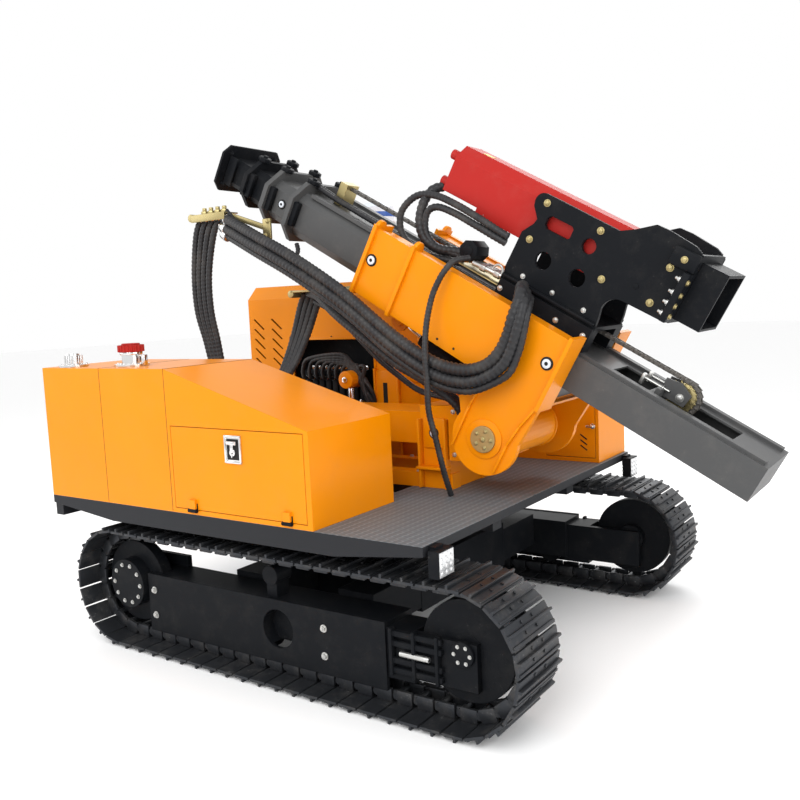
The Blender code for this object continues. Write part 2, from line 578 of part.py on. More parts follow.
def build_hood():
    c = HOOD_CHAMFER
    outline = [(HOOD_NEAR, FLOOR), (HALF, FLOOR), (HALF, HOOD_TOP - c), (HALF - c, HOOD_TOP),
               (HOOD_NEAR + c, HOOD_TOP), (HOOD_NEAR, HOOD_TOP - c)]
    hood = slab(slew, "X", HOOD_REAR, HOOD_FRONT, outline)
    s = SHEET
    inner = [(HOOD_NEAR + s, FLOOR - 0.01), (HALF - s, FLOOR - 0.01), (HALF - s, HOOD_TOP - c - s * 0.414),
             (HALF - c - s * 0.414, HOOD_TOP - s), (HOOD_NEAR + c + s * 0.414, HOOD_TOP - s),
             (HOOD_NEAR + s, HOOD_TOP - c - s * 0.414)]
    cut(hood, slab(slew, "X", HOOD_REAR + s, HOOD_FRONT - s, inner))
    cut(hood, box(slew, (-0.981, HOOD_NEAR - 0.01, 0.80), (-0.36, HOOD_NEAR + 2 * s, 1.47)))
    rear, front, low, high = ENGINE_DOOR
    cut(hood, box(slew, (rear, HALF - 2 * s, low), (front, HALF + 0.01, high)))
    for column in (-1.305, -1.155):
        for row in range(5):
            height = 1.605 - row * 0.062
            slot = [(column, height), (column + 0.012, height + 0.004), (column + 0.092, height - 0.062),
                    (column + 0.080, height - 0.066)]
            cut(hood, slab(slew, "Y", HOOD_NEAR - 0.01, HOOD_NEAR + 2 * s, slot))
    node(hood, "engine_hood", ORANGE)
    side_door("engine_door", engine_hinge, ENGINE_DOOR, HALF, 1)
    node(box(slew, (-1.15, 0.56, FLOOR), (-0.45, 1.0, 1.52)), "engine_block", BLACK)
    valves = box(slew, (-0.93, 0.39, 1.0), (-0.45, 0.50, 1.28))
    join(valves, box(slew, (-0.75, 0.42, FLOOR), (-0.62, 0.47, 1.01)))
    node(valves, "valve_block", BLACK)

    pipe_at = (-0.585, 0.75)
    cleaner = rod(slew, (*pipe_at, HOOD_TOP + SEAT), (*pipe_at, HOOD_TOP + 0.34), 0.035, 20)
    join(cleaner, rod(slew, (*pipe_at, HOOD_TOP + 0.33), (*pipe_at, HOOD_TOP + 0.37), 0.06, 24, 0.105))
    join(cleaner, rod(slew, (*pipe_at, HOOD_TOP + 0.365), (*pipe_at, HOOD_TOP + 0.455), 0.125, 28))
    join(cleaner, rod(slew, (*pipe_at, HOOD_TOP + 0.45), (*pipe_at, HOOD_TOP + 0.485), 0.115, 28, 0.07))
    node(cleaner, "air_precleaner", WHITE)

    rear_top, front_top = DECK_TOP + CABINET_REAR_HEIGHT, DECK_TOP + CABINET_FRONT_HEIGHT
    start = HOOD_FRONT + SEAT
    profile = [(start, FLOOR), (CABINET_FRONT, FLOOR), (CABINET_FRONT, front_top), (start, rear_top)]
    cabinet = slab(slew, "Y", CABINET_NEAR, HALF, profile)
    inner = [(start + s, FLOOR - 0.01), (CABINET_FRONT - s, FLOOR - 0.01), (CABINET_FRONT - s, front_top - s * 1.1),
             (start + s, rear_top - s * 1.1)]
    cut(cabinet, slab(slew, "Y", CABINET_NEAR + s, HALF - s, inner))
    rear, front, low, high = CABINET_DOOR
    cut(cabinet, box(slew, (rear, CABINET_NEAR - 0.01, low), (front, CABINET_NEAR + 2 * s, high)))
    node(cabinet, "front_cabinet", ORANGE)
    side_door("cabinet_door", cabinet_hinge, CABINET_DOOR, CABINET_NEAR, -1)


# ---------------------------------------------------------------- mast base: two collars on the deck, a sliding beam
def build_mast_base():
    rails = []
    for side in (-1, 1):
        low, high = mirrored(side, BEAM_HALF - 0.03, COLLAR_HALF)
        rails.append(box(slew, (REAR_COLLAR[0] - 0.06, low, FLOOR), (FRONT_COLLAR[1] + 0.01, high, FLOOR + 0.075)))
    base = box(slew, (FRONT_COLLAR[0], -COLLAR_HALF, FLOOR), (FRONT_COLLAR[1], COLLAR_HALF, COLLAR_TOP))
    join(base, box(slew, (REAR_COLLAR[0], -COLLAR_HALF, FLOOR), (REAR_COLLAR[1], COLLAR_HALF, COLLAR_TOP)), *rails)
    window = box(slew, (-1.0, -BEAM_HALF - SEAT, BEAM_LOW - SEAT), (1.0, BEAM_HALF + SEAT, BEAM_HIGH + SEAT))
    node(cut(base, window), "mast_base", ORANGE)

    beam = box(beam_slide, (BEAM_REAR, -BEAM_HALF, BEAM_LOW), (HEAD_REAR + 0.02, BEAM_HALF, BEAM_HIGH))
    join(beam, box(beam_slide, (HEAD_REAR, -HEAD_HALF, HEAD_LOW), (HEAD_FRONT, HEAD_HALF, HEAD_HIGH)))
    join(beam, rod(beam_slide, (PIVOT_X, -HEAD_HALF - 0.002, PIVOT_Z), (PIVOT_X, HEAD_HALF + 0.002, PIVOT_Z), 0.11, 32))
    inner = SLEEVE_HALF - PLATE
    join(beam, rod(beam_slide, (PIVOT_X, -inner + 0.005, PIVOT_Z), (PIVOT_X, inner - 0.005, PIVOT_Z), 0.068, 24))
    base_x, base_z = CYLINDER_BASE
    for side in (-1, 1):
        low, high = mirrored(side, LUG_INNER, LUG_OUTER)
        ear = [(base_x - 0.05, HEAD_HIGH - 0.004), (base_x + 0.07, HEAD_HIGH - 0.004)] + arc((base_x, base_z), 0.045, 10, 170, 10)
        join(beam, slab(beam_slide, "Y", low, high, ear))
    reach = LUG_OUTER + 0.012
    join(beam, rod(beam_slide, (base_x, -reach, base_z), (base_x, reach, base_z), CYLINDER_PIN, 20))
    cut(beam, rod(beam_slide, (PIVOT_X, -0.5, PIVOT_Z), (PIVOT_X, 0.5, PIVOT_Z), PIVOT_PIN + RUNNING, 24))
    node(beam, "slide_beam", ORANGE)


# ---------------------------------------------------------------- mast
def build_sleeve():
    t, top, low = TEARDROP, SLEEVE_TOP, SLEEVE_LOW
    outline = ([(SLEEVE_REAR, low), (SLEEVE_REAR, top), (SLEEVE_FRONT, top), (SLEEVE_FRONT, low - 0.02)]
               + arc((0.0, 0.0), t, 22, -196, 26)
               + [(-0.205, 0.11), (-0.205, 0.15), (-0.19, 0.20), (-0.16, 0.235), (-0.13, low - 0.006)])
    pin_hole = ring((0, 0), PIVOT_PIN + SEAT)
    sleeve = box(mast, (SLEEVE_REAR + 0.001, -SLEEVE_HALF + 0.002, low + 0.001),
                 (SLEEVE_FRONT - 0.001, SLEEVE_HALF - 0.002, low + 0.015))
    for side in (-1, 1):
        y0, y1 = mirrored(side, SLEEVE_HALF - PLATE, SLEEVE_HALF)
        join(sleeve, slab(mast, "Y", y0, y1, [(a, b) for a, b in outline], [pin_hole]))
        y0, y1 = mirrored(side, BOOM_HALF + 0.012, SLEEVE_HALF - 0.002)
        join(sleeve, box(mast, (SLEEVE_REAR + 0.02, y0, top - 0.025), (SLEEVE_FRONT - 0.02, y1, top - 0.01)))
        for along in (SLEEVE_REAR + 0.03, SLEEVE_FRONT - 0.10):
            y0, y1 = mirrored(side, BOOM_HALF + SEAT, SLEEVE_HALF - 0.002)
            join(sleeve, box(mast, (along, y0, 0.39), (along + 0.08, y1, 0.48)))
        # the cylinder's lug plates under the sleeve; the pin's ends stay outside the rod's eye
        y0, y1 = mirrored(side, LUG_INNER, LUG_OUTER)
        lug = [(LUG[0] - 0.09, low + 0.004), (LUG[0] + 0.10, low + 0.004)] + arc(LUG, 0.05, 20, -200, 10)
        join(sleeve, slab(mast, "Y", y0, y1, lug))
        y0, y1 = mirrored(side, LUG_INNER + 0.002, LUG_OUTER + 0.012)
        join(sleeve, rod(mast, (LUG[0], y0, LUG[1]), (LUG[0], y1, LUG[1]), LUG_PIN, 16))
    # bottom pads, then the rear and front flanges and the middle rib
    for along in (SLEEVE_REAR + 0.03, SLEEVE_FRONT - 0.10):
        join(sleeve, box(mast, (along, -0.12, low + 0.01), (along + 0.08, 0.12, BOOM_LOW - SEAT)))
    for along, inner in ((SLEEVE_REAR - 0.005, BOOM_HALF + 0.006), (SLEEVE_FRONT - RIB + 0.005, BOOM_HALF + 0.006),
                         (RIB_AT, SLEEVE_HALF - 0.002)):
        for side in (-1, 1):
            y0, y1 = mirrored(side, inner, SLEEVE_HALF + RIB_PROUD)
            ear = [(y0, low - 0.01), (y1, low - 0.01), (y1, top + 0.016), (y0, top + 0.016)]
            join(sleeve, slab(mast, "X", along, along + RIB, ear))
    node(sleeve, "mast_sleeve", ORANGE)
    pin = rod(mast, (0, -SLEEVE_HALF - 0.002, 0), (0, SLEEVE_HALF + 0.002, 0), PIVOT_PIN, 24)
    for side in (-1, 1):
        y0, y1 = mirrored(side, SLEEVE_HALF + SEAT, SLEEVE_HALF + 0.018)
        join(pin, rod(mast, (0, y0, 0), (0, y1, 0), 0.062, 28))
    node(pin, "mast_pivot_pin", ZINC)


def section_sizes(index):
    """Half width, underside, top and corner of a mast section, 0 for the outer boom."""
    inset = index * SECTION_STEP
    return BOOM_HALF - inset, BOOM_LOW + inset, BOOM_TOP - inset, BOOM_CHAMFER - inset * 0.4


def hollow_section(parent, index, rear, front, wall):
    half, low, top, corner = section_sizes(index)
    bore = chamfered(half - wall, low + wall, top - wall, corner - wall * 0.4)
    return slab(parent, "X", rear, front, chamfered(half, low, top, corner), [bore])


def collar(parent, index, rear, thick):
    """The guide plate on a section's end, closed in on the next section."""
    half, low, top, _ = section_sizes(index)
    outer = chamfered(half + COLLAR_PROUD, low - COLLAR_PROUD + 0.01, top + COLLAR_PROUD, 0.085)
    inner_half, inner_low, inner_top, corner = section_sizes(index + 1)
    window = chamfered(inner_half + SEAT, inner_low - SEAT, inner_top + SEAT, corner)
    return slab(parent, "X", rear, rear + thick, outer, [window])


section_slides = []


def build_boom():
    boom = hollow_section(boom_slide, 0, BOOM_REAR + 0.002, BOOM_FRONT - SEAT, BOOM_WALL)
    join(boom, collar(boom_slide, 0, BOOM_REAR, COLLAR))
    end = chamfered(BOOM_HALF - 0.003, BOOM_LOW + 0.003, BOOM_TOP - 0.003, BOOM_CHAMFER)
    join(boom, slab(boom_slide, "X", BOOM_FRONT - 0.012, BOOM_FRONT - 2 * SEAT, end))
    for side in (-1, 1):
        y0, y1 = mirrored(side, STRIP[0] - 0.02, STRIP[1] - 0.02)
        join(boom, box(boom_slide, (BOOM_REAR + COLLAR + 0.05, y0, BOOM_TOP - 0.004), (BOOM_FRONT - 2 * SEAT, y1, STRIP_TOP)))
    node(boom, "mast_boom", GREY)

    foot = box(boom_slide, (BOOM_FRONT, -BOOM_HALF, FOOT_LOW), (FOOT_FRONT, BOOM_HALF, BOOM_TOP))
    w = FOOT_WALL
    cut(foot, box(boom_slide, (BOOM_FRONT + w, -BOOM_HALF + w, FOOT_LOW + w), (FOOT_FRONT - w, BOOM_HALF - w, BOOM_TOP - w)))
    for start, end in FOOT_SLOTS:
        cut(foot, box(boom_slide, (start, -SLOT_HALF, BOOM_TOP - 2 * w), (end, SLOT_HALF, BOOM_TOP + 0.02)))
    for side in (-1, 1):
        y0, y1 = mirrored(side, STRIP[0] - 0.02, STRIP[1] - 0.02)
        join(foot, box(boom_slide, (BOOM_FRONT + SEAT, y0, BOOM_TOP - 0.004), (FOOT_FRONT - 0.02, y1, STRIP_TOP)))
        y0, y1 = mirrored(side, 0.026, 0.038)
        ear = [(SPROCKET_AT - 0.09, BOOM_TOP - 0.005), (SPROCKET_AT + 0.03, BOOM_TOP - 0.005),
               (SPROCKET_AT + 0.04, SPROCKET_N + 0.03), (SPROCKET_AT - 0.02, SPROCKET_N + 0.06), (SPROCKET_AT - 0.09, SPROCKET_N + 0.05)]
        join(foot, slab(boom_slide, "Y", y0, y1, ear))
    # the cross bar that carries the sprocket's ears over the slot
    join(foot, box(boom_slide, (SPROCKET_AT - 0.095, -SLOT_HALF - 0.004, BOOM_TOP - 0.008), (SPROCKET_AT - 0.07, SLOT_HALF + 0.004, BOOM_TOP + 0.03)))
    node(foot, "mast_foot", GREY)

    wheel = rod(boom_slide, (SPROCKET_AT, -0.009, SPROCKET_N), (SPROCKET_AT, 0.009, SPROCKET_N), SPROCKET_RADIUS - 0.004, 32)
    join(wheel, rod(boom_slide, (SPROCKET_AT, -0.026 + SEAT, SPROCKET_N), (SPROCKET_AT, 0.026 - SEAT, SPROCKET_N), 0.022, 20))
    node(wheel, "chain_sprocket", ZINC)
    r, c = SPROCKET_RADIUS - 0.004 + SEAT, (SPROCKET_AT, SPROCKET_N)
    over = arc(c, r + CHAIN, 90, -90, 16)
    back = arc(c, r, -90, 90, 16)
    tail = TAIL_AT
    strand = [(tail, SPROCKET_N + r + CHAIN)] + over + [(SPROCKET_AT - 0.06, SPROCKET_N - r - CHAIN), (SPROCKET_AT - 0.06, SPROCKET_N - r)]
    strand += back + [(tail, SPROCKET_N + r)]
    node(slab(boom_slide, "Y", -CHAIN_HALF, CHAIN_HALF, strand), "feed_chain", STEEL)
    anchor = box(boom_slide, (tail - 0.05, -0.05, BOOM_TOP + SEAT), (tail - SEAT, 0.05, SPROCKET_N + r + CHAIN + 0.01))
    node(anchor, "chain_anchor", ZINC)

    parent = boom_slide
    names = ("mast_section_two", "mast_section_three", "mast_section_four")
    for index, name in enumerate(names, start=1):
        parent = empty(name + "_slide", parent)
        section_slides.append(parent)
        rear = SECTION_REACH[index - 1]
        tube = hollow_section(parent, index, rear + 0.002, SECTION_INNER[index - 1], SECTION_WALL)
        if index < len(names):
            join(tube, collar(parent, index, rear, COLLAR))
        else:
            half, low, top, _ = section_sizes(index)
            head = chamfered(half + 0.07, low - 0.045, top + 0.065, 0.045)
            join(tube, slab(parent, "X", rear, rear + 0.014, head))
        node(tube, name, GREY if index < 3 else BLACK)


# ---------------------------------------------------------------- tilt cylinders
def lug_point():
    """The upper cylinder pin at rest, in the slewing frame's X and Z."""
    u, n = LUG
    return (PIVOT_X + u * math.cos(ANGLE) + n * math.sin(ANGLE), PIVOT_Z - u * math.sin(ANGLE) + n * math.cos(ANGLE))


def build_cylinders():
    (x0, z0), (x1, z1) = CYLINDER_BASE, lug_point()
    reach = math.hypot(x1 - x0, z1 - z0)
    lean = math.atan2(x1 - x0, z1 - z0)
    barrel_pivot = empty("barrel_pivot", beam_slide, (x0, 0, z0), (0, lean, 0))
    rod_slide = empty("rod_slide", barrel_pivot)
    barrel = rod(barrel_pivot, (0, 0, 0.03), (0, 0, BARREL_LENGTH), BARREL_RADIUS, 28)
    join(barrel, rod(barrel_pivot, (0, -EYE_HALF, 0), (0, EYE_HALF, 0), 0.045, 24))
    cut(barrel, rod(barrel_pivot, (0, 0, 0.055), (0, 0, BARREL_LENGTH - 0.02), BARREL_BORE, 24),
        rod(barrel_pivot, (0, 0, 0.3), (0, 0, BARREL_LENGTH + 0.05), ROD_RADIUS + SEAT, 24),
        rod(barrel_pivot, (0, -0.1, 0), (0, 0.1, 0), CYLINDER_PIN + RUNNING, 20))
    node(barrel, "tilt_barrel", BLACK)
    piston = rod(rod_slide, (0, 0, ROD_START), (0, 0, reach - 0.02), ROD_RADIUS, 24)
    join(piston, rod(rod_slide, (0, -EYE_HALF, reach), (0, EYE_HALF, reach), 0.038, 20))
    node(piston, "tilt_rod", CHROME)


# ---------------------------------------------------------------- hammer
def build_hammer():
    base = box(hammer_slide, (CARRIAGE_REAR, -HAMMER_HALF, CARRIAGE_TOP - 0.02), (CARRIAGE_FRONT, HAMMER_HALF, CARRIAGE_TOP))
    for side in (-1, 1):
        y0, y1 = mirrored(side, 0.108, HAMMER_HALF + 0.02)
        join(base, box(hammer_slide, (CARRIAGE_REAR + 0.001, y0, STRIP_TOP + SEAT), (CARRIAGE_FRONT - 0.001, y1, CARRIAGE_TOP - 0.01)))
    node(base, "hammer_carriage", BLACK)

    low = CARRIAGE_TOP + SEAT
    outline = [(CARRIAGE_REAR, low), (CARRIAGE_REAR - 0.012, 0.70), (CARRIAGE_REAR - 0.008, 0.875), (-0.30, 0.93),
               (-0.295, 0.955), (-0.335, 1.0)]
    outline += arc((-0.30, 1.03), 0.042, 190, 80, 6)
    outline += [(-0.235, 1.072), (0.075, 1.069), (0.137, 1.105), (0.208, 1.158), (0.27, 1.16), (0.394, 1.149),
                (FLANGE_AT - SEAT, 1.135), (FLANGE_AT - SEAT, 0.82), (0.23, 0.815)]
    outline += arc((0.225, 0.745), 0.07, 90, 180, 6) + [(0.165, 0.70), (0.17, low)]
    window = [(-0.235, 0.935), (-0.125, 0.935), (-0.115, 0.945), (-0.115, 0.985), (-0.125, 0.995), (-0.235, 0.995),
              (-0.25, 0.98), (-0.25, 0.95)]
    holes = [window, ring((-0.018, 0.953), 0.034, 16), ring((-0.183, 0.804), 0.040, 16), ring((-0.004, 0.808), 0.040, 16)]
    for label, side in (("right", -1), ("left", 1)):
        y0, y1 = mirrored(side, HAMMER_HALF - HAMMER_PLATE, HAMMER_HALF)
        plate = slab(hammer_slide, "Y", y0, y1, outline, [list(reversed(h)) for h in holes])
        node(plate, "hammer_plate_" + label, BLACK)

    c = BREAKER_CHAMFER
    half = BREAKER_HALF
    body = [(-half, BREAKER_LOW), (half, BREAKER_LOW), (half, BREAKER_TOP - c), (half - c, BREAKER_TOP),
            (-half + c, BREAKER_TOP), (-half, BREAKER_TOP - c)]
    breaker = slab(hammer_slide, "X", BREAKER_REAR, BREAKER_FRONT, body)
    cut(breaker, box(hammer_slide, (BREAKER_REAR - 0.1, -0.3, 0.7), (BREAKER_STEP, 0.3, BREAKER_LOW + 0.03)))
    for y in (-0.08, 0.08):
        for n in (0.90, 1.03):
            join(breaker, rod(hammer_slide, (BREAKER_REAR - 0.045, y, n), (BREAKER_REAR + 0.02, y, n), 0.024, 12))
    for u, n in ((-0.281, 1.036), (0.0, 1.034), (-0.287, 0.86), (0.10, 0.855)):
        reach = HAMMER_HALF - HAMMER_PLATE - SEAT
        join(breaker, rod(hammer_slide, (u, -reach, n), (u, reach, n), 0.013, 12))
    node(breaker, "breaker_body", RED)

    front = slab(hammer_slide, "X", FLANGE_AT, FLANGE_AT + FLANGE,
                 [(-HAMMER_HALF, 0.825), (HAMMER_HALF, 0.825), (HAMMER_HALF, 1.13), (-HAMMER_HALF, 1.13)])
    node(front, "hammer_front_plate", BLACK)
    neck = rod(hammer_slide, (BREAKER_FRONT + SEAT, 0, 0.97), (FLANGE_AT - SEAT, 0, 0.97), 0.10, 24)
    node(neck, "breaker_front_head", BLACK)
    start = FLANGE_AT + FLANGE + SEAT
    cap = box(hammer_slide, (start, -CAP_HALF, CAP_LOW), (start + CAP_LENGTH, CAP_HALF, CAP_TOP))
    w = CAP_WALL
    cut(cap, box(hammer_slide, (start + w, -CAP_HALF + w, CAP_LOW + w), (start + CAP_LENGTH + 0.01, CAP_HALF - w, CAP_TOP - w)))
    node(cap, "drive_cap", BLACK)


build_undercarriage()
build_deck()
build_tanks()
build_tool_box()
build_hood()
build_mast_base()
build_sleeve()
build_boom()
build_cylinders()
build_hammer()
bpy.context.view_layer.update()
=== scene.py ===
import math

import bmesh
import bpy
from mathutils import Matrix, Vector


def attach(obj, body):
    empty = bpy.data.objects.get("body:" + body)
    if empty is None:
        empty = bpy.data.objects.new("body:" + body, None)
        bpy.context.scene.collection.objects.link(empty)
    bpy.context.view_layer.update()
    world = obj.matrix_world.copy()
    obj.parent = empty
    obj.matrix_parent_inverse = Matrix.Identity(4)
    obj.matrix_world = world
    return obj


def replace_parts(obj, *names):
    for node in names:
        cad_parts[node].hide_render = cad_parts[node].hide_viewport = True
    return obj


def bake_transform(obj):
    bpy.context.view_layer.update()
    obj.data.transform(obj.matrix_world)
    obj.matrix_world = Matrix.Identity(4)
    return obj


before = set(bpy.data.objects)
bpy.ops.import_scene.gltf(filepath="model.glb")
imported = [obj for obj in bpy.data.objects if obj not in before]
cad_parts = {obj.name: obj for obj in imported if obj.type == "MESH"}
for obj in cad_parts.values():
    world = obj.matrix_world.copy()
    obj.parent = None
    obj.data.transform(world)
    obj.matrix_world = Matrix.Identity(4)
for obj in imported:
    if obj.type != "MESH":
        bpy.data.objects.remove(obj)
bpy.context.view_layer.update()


# ---- Camera, floor and light.
# The rig stands on a plain pale floor under four large soft boxes in an even white room.
# It is seen from its right front at eye level, with colours shown as they are.
camera = bpy.data.objects.new("camera", bpy.data.cameras.new("camera"))
bpy.context.scene.collection.objects.link(camera)
camera.data.lens = 39.45
camera.data.sensor_width = 36
heading, dip, roll = math.radians(34.7324), math.radians(6.3686), math.radians(-2.6204)
ahead = Vector((-math.sin(heading) * math.cos(dip), math.cos(heading) * math.cos(dip), -math.sin(dip)))
aside = Vector((math.cos(heading), math.sin(heading), 0))
above = aside.cross(ahead)
rolled_aside = math.cos(roll) * aside + math.sin(roll) * above
rolled_above = math.cos(roll) * above - math.sin(roll) * aside
facing = Matrix((rolled_aside, rolled_above, -ahead)).transposed()
camera.matrix_world = Matrix.Translation((2.4296, -3.7868, 1.6764)) @ facing.to_4x4()
bpy.context.scene.camera = camera
bpy.context.scene.view_settings.view_transform = "Standard"

floor_shape = bmesh.new()
bmesh.ops.create_grid(floor_shape, x_segments=1, y_segments=1, size=40)
floor_mesh = bpy.data.meshes.new("floor")
floor_shape.to_mesh(floor_mesh)
floor_shape.free()
floor = bpy.data.objects.new("floor", floor_mesh)
floor.location.z = -0.001
bpy.context.scene.collection.objects.link(floor)
floor_paint = bpy.data.materials.new("pale_floor")
floor_paint.use_nodes = True
floor_shader = floor_paint.node_tree.nodes["Principled BSDF"]
floor_shader.inputs["Base Color"].default_value = (0.96, 0.96, 0.96, 1)
floor_shader.inputs["Roughness"].default_value = 0.75
floor_mesh.materials.append(floor_paint)

for name, at, width, power in (("key", (1.5, -6.5, 5.5), 5.0, 300), ("fill", (-6.0, -3.0, 4.0), 5.0, 110),
                               ("front", (6.0, -1.0, 3.0), 4.0, 115), ("back", (-1.0, 6.0, 5.0), 5.0, 200)):
    lamp = bpy.data.objects.new(name, bpy.data.lights.new(name, "AREA"))
    lamp.data.size = width
    lamp.data.energy = power
    lamp.location = at
    lamp.rotation_mode = "QUATERNION"
    lamp.rotation_quaternion = (Vector((0, 0, 0.9)) - Vector(at)).to_track_quat("-Z", "Y")
    bpy.context.scene.collection.objects.link(lamp)
world = bpy.data.worlds.new("studio")
world.use_nodes = True
world.node_tree.nodes["Background"].inputs["Color"].default_value = (1, 1, 1, 1)
world.node_tree.nodes["Background"].inputs["Strength"].default_value = 1.0
bpy.context.scene.world = world


# ---- Painted sheet and plate: the tanks, hood, cabinets, mast base and sleeve.
# Thick orange two-pack paint over welded steel, with a fine peel, a little dust and slightly eased edges.
class Wire:
    """A shader output: sums on it add Math nodes, and node() adds any other node."""

    def __init__(self, tree, socket=None):
        self.tree, self.socket = tree, socket

    def node(self, kind, inputs=(), out=0, stops=None, **settings):
        made = self.tree.nodes.new("ShaderNode" + kind)
        for key, value in settings.items():
            setattr(made, key, value)
        if stops:
            for index, (place, shade) in enumerate(stops):
                stop = made.color_ramp.elements[index] if index < 2 else made.color_ramp.elements.new(place)
                stop.position, stop.color = place, (shade, shade, shade, 1)
        for key, value in dict(inputs).items():
            if isinstance(value, Wire):
                self.tree.links.new(value.socket, made.inputs[key])
            else:
                made.inputs[key].default_value = value
        return Wire(self.tree, made.outputs[out])

    def maths(self, operation, first, second=0.0):
        return self.node("Math", {0: first, 1: second}, operation=operation)

    def __add__(self, other):
        return self.maths("ADD", self, other)

    def __mul__(self, other):
        return self.maths("MULTIPLY", self, other)

    def __rsub__(self, other):
        return self.maths("SUBTRACT", other, self)

    __radd__, __rmul__ = __add__, __mul__

    def mix(self, first, second):
        """Blends two colours by this wire."""
        return self.node("Mix", {0: self, 6: first, 7: second}, out=2, data_type="RGBA")


DUST = (0.30, 0.27, 0.23, 1)


def coated(name, colour, roughness, metallic=0.0, coat=0.0, worn=None, wear=0.0, peel=0.15, ease=0.004,
           dust=0.25, shine=0.25, height=None):
    """A surface with faint blotches, patches of dust, worn spots, a fine peel and eased edges."""
    made = bpy.data.materials.new(name)
    made.use_nodes = True
    shader = made.node_tree.nodes["Principled BSDF"]
    wire = Wire(made.node_tree)
    place = wire.node("TexCoord", out=3)
    blotch = wire.node("TexNoise", {"Vector": place, "Scale": 2.6, "Detail": 4.0, "Roughness": 0.6})
    coarse = wire.node("TexNoise", {"Vector": place, "Scale": 9.0, "Detail": 8.0, "Roughness": 0.7})
    patch = wire.node("ValToRGB", {0: coarse}, stops=[(0.48, 0.0), (0.72, 1.0)])
    fine = wire.node("TexNoise", {"Vector": place, "Scale": 60.0, "Detail": 6.0, "Roughness": 0.75})
    scratch = wire.node("ValToRGB", {0: fine}, stops=[(0.60, 0.0), (0.66, 1.0)])
    dark = tuple(c * 0.86 for c in colour) + (1,)
    base = blotch.mix(dark, (*colour, 1))
    base = (patch * (dust * 0.35)).mix(base, DUST)
    rough = roughness + 0.10 * blotch + dust * 0.35 * patch
    if worn:
        spots = scratch * patch * wear
        base = spots.mix(base, (*worn, 1))
        made.node_tree.links.new((metallic + spots * (0.8 - metallic)).socket, shader.inputs["Metallic"])
    else:
        shader.inputs["Metallic"].default_value = metallic
    made.node_tree.links.new(base.socket, shader.inputs["Base Color"])
    made.node_tree.links.new(rough.socket, shader.inputs["Roughness"])
    shader.inputs["Specular IOR Level"].default_value = shine
    shader.inputs["Coat Weight"].default_value = coat
    shader.inputs["Coat Roughness"].default_value = 0.12
    grain = wire.node("TexNoise", {"Vector": place, "Scale": 140.0, "Detail": 3.0})
    relief = {"Strength": peel, "Distance": 0.002}
    relief["Height"] = grain if height is None else height(wire, place) + grain * 0.1
    if ease:
        relief["Normal"] = wire.node("Bevel", {"Radius": ease}, samples=4)
    made.node_tree.links.new(wire.node("Bump", relief).socket, shader.inputs["Normal"])
    return made


def dress(finish, *nodes):
    """Gives CAD nodes a finish."""
    for node in nodes:
        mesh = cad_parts[node].data
        mesh.materials.clear()
        mesh.materials.append(finish)


orange = coated("orange_paint", (0.84, 0.262, 0.0), 0.30, coat=0.05, worn=(0.25, 0.12, 0.05), wear=0.10,
                dust=0.08, shine=0.16)
dress(orange, "fuel_tank", "oil_tank", "tool_box", "tool_box_door", "engine_hood", "engine_door",
      "front_cabinet", "cabinet_door", "mast_base", "slide_beam", "mast_sleeve")


# ---- Undercarriage frame: welded box frames, idlers, sprockets and the slew bearing.
# Black painted fabrications, a little dusty; the bolts that hold them are bright zinc.
# Lengths are taken from the slewing axis; the idlers' and sprockets' axles stand as far before it as behind.
DECK = Matrix.Translation((-0.25078, 0, 0))
AXLE, AXLE_HEIGHT = 0.985, 0.31
black = coated("black_paint", (0.008, 0.009, 0.011), 0.40, coat=0.0, worn=(0.20, 0.19, 0.18), wear=0.25,
               dust=0.07, shine=0.07)
dress(black, "car_body", "slewing_bearing", "swivel", "track_frame_right", "track_frame_left", "idler_right",
      "idler_left", "drive_sprocket_right", "drive_sprocket_left", "turntable", "work_lamp_right",
      "work_lamp_left", "tilt_barrel", "engine_block", "valve_block", "hammer_carriage", "hammer_plate_right",
      "hammer_plate_left", "hammer_front_plate", "breaker_front_head", "drive_cap", "mast_section_three",
      "mast_section_four")
zinc = coated("bright_zinc", (0.62, 0.62, 0.60), 0.28, metallic=0.9, dust=0.05, ease=0)


def piece(name, shape, body, finish, place=DECK):
    """Puts a worked shape in its place as a piece that rides on a body."""
    bmesh.ops.transform(shape, matrix=place, verts=shape.verts)
    mesh = bpy.data.meshes.new(name)
    shape.to_mesh(mesh)
    shape.free()
    mesh.materials.append(finish)
    mesh.shade_smooth()
    mesh.set_sharp_from_angle(angle=math.radians(32))
    made = bpy.data.objects.new(name, mesh)
    bpy.context.scene.collection.objects.link(made)
    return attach(made, body)


def ease_edges(shape, verts, width, least=40):
    """Rounds the sharp edges among these vertices."""
    chosen = set(verts)
    edges = [e for e in shape.edges if e.verts[0] in chosen and len(e.link_faces) == 2
             and e.calc_face_angle() > math.radians(least)]
    bmesh.ops.bevel(shape, geom=edges, offset=width, segments=2, profile=0.5, affect="EDGES",
                    clamp_overlap=True, material=-1)


def block(shape, low, high, ease):
    """A block between two corners with eased edges."""
    verts = bmesh.ops.create_cube(shape, size=1.0)["verts"]
    bmesh.ops.scale(shape, vec=[b - a for a, b in zip(low, high)], verts=verts)
    bmesh.ops.translate(shape, vec=[(a + b) / 2 for a, b in zip(low, high)], verts=verts)
    if ease:
        ease_edges(shape, verts, ease)


def flank(shape, side, low, high, ease):
    """A block on one side of the middle plane, between corners given as they are on the left side."""
    near, far = sorted((side * low[1], side * high[1]))
    block(shape, (low[0], near, low[2]), (high[0], far, high[2]), ease)


